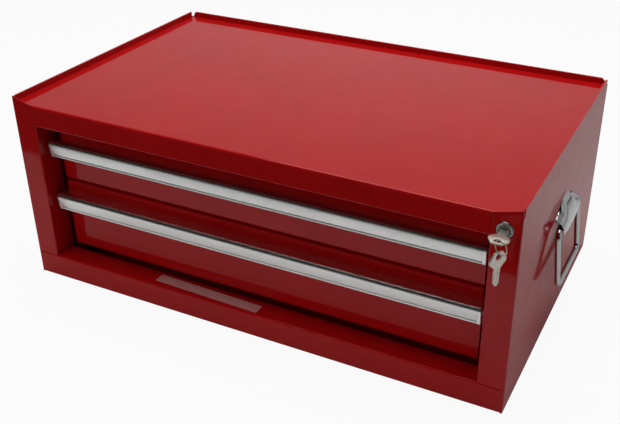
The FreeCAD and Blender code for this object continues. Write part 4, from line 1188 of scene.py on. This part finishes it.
class CHEST_OT_stage(bpy.types.Operator):
    """Lays the pale floor, hangs the soft lamps and stands the camera where the photograph was taken"""

    bl_idname = "chest.stage"
    bl_label = "Set the stage"

    def execute(self, context):
        view = context.scene.chest_view
        self.floor(view)
        self.world(context)
        self.lamps(view)
        self.camera(context, view)
        context.scene.view_settings.view_transform = "Standard"
        return {"FINISHED"}

    def floor(self, view):
        """A pale floor that shows as white and keeps the chest's shadow; to gloss and bounce it is painted
        dark past its paper's end, a painted shade for the unlit studio in front.
        """
        mesh = bpy.data.meshes.new("floor")
        reach, below = 6.0, -0.4 * MM
        corners = [(-reach, -reach), (reach, -reach), (reach, reach), (-reach, reach)]
        mesh.from_pydata([(x, y, below) for x, y in corners], [], [(0, 1, 2, 3)])
        floor = in_scene("floor", mesh)
        finish = Finish("floor_paper")
        here = finish.place()
        along = finish.axis(here, "Y")
        fibre = finish.noise(here, 4 * MM, detail=3.0)
        paper_tone = finish.blend(fibre, (0.78, 0.78, 0.78), (0.82, 0.82, 0.82))
        on_paper = finish.spread(along, view.paper_end - 4 * MM, view.paper_end + 4 * MM)
        # Past the paper's end the floor's colour for gloss and bounce is painted shade: near black, then
        # paler again far off, standing for the unlit studio in front
        beyond = finish.spread(along, view.dark_end - 100 * MM, view.dark_end, 1.0, 0.0)
        studio_shade_tone = finish.blend(beyond, (0.02, 0.02, 0.02), (0.35, 0.35, 0.35))
        seen = finish.node("ShaderNodeLightPath", out="Is Camera Ray")
        tone = finish.blend(seen, finish.blend(on_paper, studio_shade_tone, paper_tone), paper_tone)
        paper = finish.node("ShaderNodeBsdfDiffuse", {}, {"Color": tone})
        white = finish.node("ShaderNodeEmission", {}, {"Color": (1, 1, 1, 1), "Strength": 1.0})
        whiteness = 0.93
        shown = finish.node("ShaderNodeMixShader", {}, {0: seen * whiteness, 1: paper, 2: white})
        finish.node("ShaderNodeOutputMaterial", {}, {"Surface": shown})
        mesh.materials.append(finish.material)

    def world(self, context):
        """White to the camera, soft grey light on the chest, and a dim studio in its gloss."""
        world = bpy.data.worlds.new("studio")
        context.scene.world = world
        world.use_nodes = True
        sky = Surface(world.node_tree)
        direction = sky.node("ShaderNodeTexCoord", out="Generated")
        # The studio in the gloss: dark in front, bright behind, brightest low and a little to the left
        behind = sky.spread(sky.axis(direction, "Y"), low=-0.25, high=0.35, start=0.02, end=1.0)
        wall = sky.spread(sky.axis(direction, "Z"), low=0.33, high=0.52, start=0.84, end=0.50)
        off_left = sky.axis(direction, "X") + 0.33
        aside = sky.node("ShaderNodeMath", {"operation": "ABSOLUTE"}, {0: off_left})
        middle = sky.spread(aside, low=0.06, high=0.40, start=1.0, end=0.62)
        dim, soft, white = (
            sky.node("ShaderNodeBackground", {}, {"Color": (1, 1, 1, 1), "Strength": strength})
            for strength in (behind * wall * middle, 0.14, 1.0)
        )
        mirrored = sky.node("ShaderNodeLightPath", out="Is Glossy Ray")
        seen = sky.node("ShaderNodeLightPath", out="Is Camera Ray")
        lit = sky.node("ShaderNodeMixShader", {}, {0: mirrored, 1: soft, 2: dim})
        shown = sky.node("ShaderNodeMixShader", {}, {0: seen, 1: lit, 2: white})
        sky.node("ShaderNodeOutputWorld", {}, {"Surface": shown})

    def lamps(self, view):
        """Three soft boxes: overhead, at the right and low at the front."""
        level = view.lamp_level
        self.lamp(
            "lamp_overhead", (0.0, 0.2, 1.75), aim=(0.0, 0.0, 0.2), size=(1.6, 1.3), power=24.0 * level
        )
        self.lamp("lamp_right", (1.9, -0.2, 1.0), aim=(0.3, 0.0, 0.1), size=(0.9, 0.9), power=1.0 * level)
        front = self.lamp(
            "lamp_front", (-0.7, -1.9, 1.1), aim=(0.0, -0.1, 0.1), size=(0.9, 0.9), power=7.5 * level
        )
        front.visible_glossy = False

    @staticmethod
    def lamp(name, place, aim, size, power):
        """A soft box at a place, turned to the point that it aims at."""
        light = bpy.data.lights.new(name, "AREA")
        light.shape = "RECTANGLE"
        light.size, light.size_y = size
        light.energy = power
        stand = in_scene(name, light)
        stand.location = place
        stand.rotation_mode = "QUATERNION"
        stand.rotation_quaternion = (Vector(aim) - Vector(place)).to_track_quat("-Z", "Y")
        return stand

    def camera(self, context, view):
        """The camera of the photograph."""
        azimuth, rise = view.azimuth, view.elevation
        back = Vector(
            (math.sin(azimuth) * math.cos(rise), -math.cos(azimuth) * math.cos(rise), math.sin(rise))
        )
        level = Vector((math.cos(azimuth), math.sin(azimuth), 0.0))
        upward = back.cross(level)
        right = level * math.cos(view.roll) + upward * math.sin(view.roll)
        up = back.cross(right)
        axes = Matrix((right, up, back)).transposed()
        data = bpy.data.cameras.new("camera")
        data.lens = view.lens
        data.sensor_width = 36.0
        data.shift_x = view.shift_x
        data.shift_y = view.shift_y
        data.clip_start, data.clip_end = 0.05, 50.0
        camera = in_scene("camera", data)
        camera.matrix_world = Matrix.Translation(Vector(view.target) + back * view.distance) @ axes.to_4x4()
        context.scene.camera = camera


GROUPS = {
    "chest_finishes": ChestFinishes,
    "chest_pulls": ChestPulls,
    "chest_handles": ChestHandles,
    "chest_keys": ChestKeys,
    "chest_small": ChestSmall,
    "chest_view": ChestView,
}


class CHEST_PT_panel(bpy.types.Panel):
    """The chest's pieces, sizes and colours"""

    bl_idname = "CHEST_PT_panel"
    bl_label = "Top chest"
    bl_space_type = "VIEW_3D"
    bl_region_type = "UI"
    bl_category = "Top chest"

    def draw(self, context):
        for operator in OPERATORS:
            self.layout.operator(operator.bl_idname)
        for attribute, group in GROUPS.items():
            for name in group.__annotations__:
                self.layout.prop(getattr(context.scene, attribute), name)


OPERATORS = (
    CHEST_OT_finish_pieces,
    CHEST_OT_pulls,
    CHEST_OT_lock,
    CHEST_OT_keys,
    CHEST_OT_handles,
    CHEST_OT_slides,
    CHEST_OT_screws,
    CHEST_OT_trim,
    CHEST_OT_stage,
)
CLASSES = (*GROUPS.values(), *OPERATORS, CHEST_PT_panel)


def register():
    for made in CLASSES:
        bpy.utils.register_class(made)
    for attribute, group in GROUPS.items():
        setattr(bpy.types.Scene, attribute, bpy.props.PointerProperty(type=group))


def unregister():
    for attribute in GROUPS:
        delattr(bpy.types.Scene, attribute)
    for made in reversed(CLASSES):
        bpy.utils.unregister_class(made)


def main():
    """Makes the whole chest."""
    register()
    for operator in OPERATORS:
        group, name = operator.bl_idname.split(".")
        getattr(getattr(bpy.ops, group), name)()


if __name__ == "__main__":
    main()
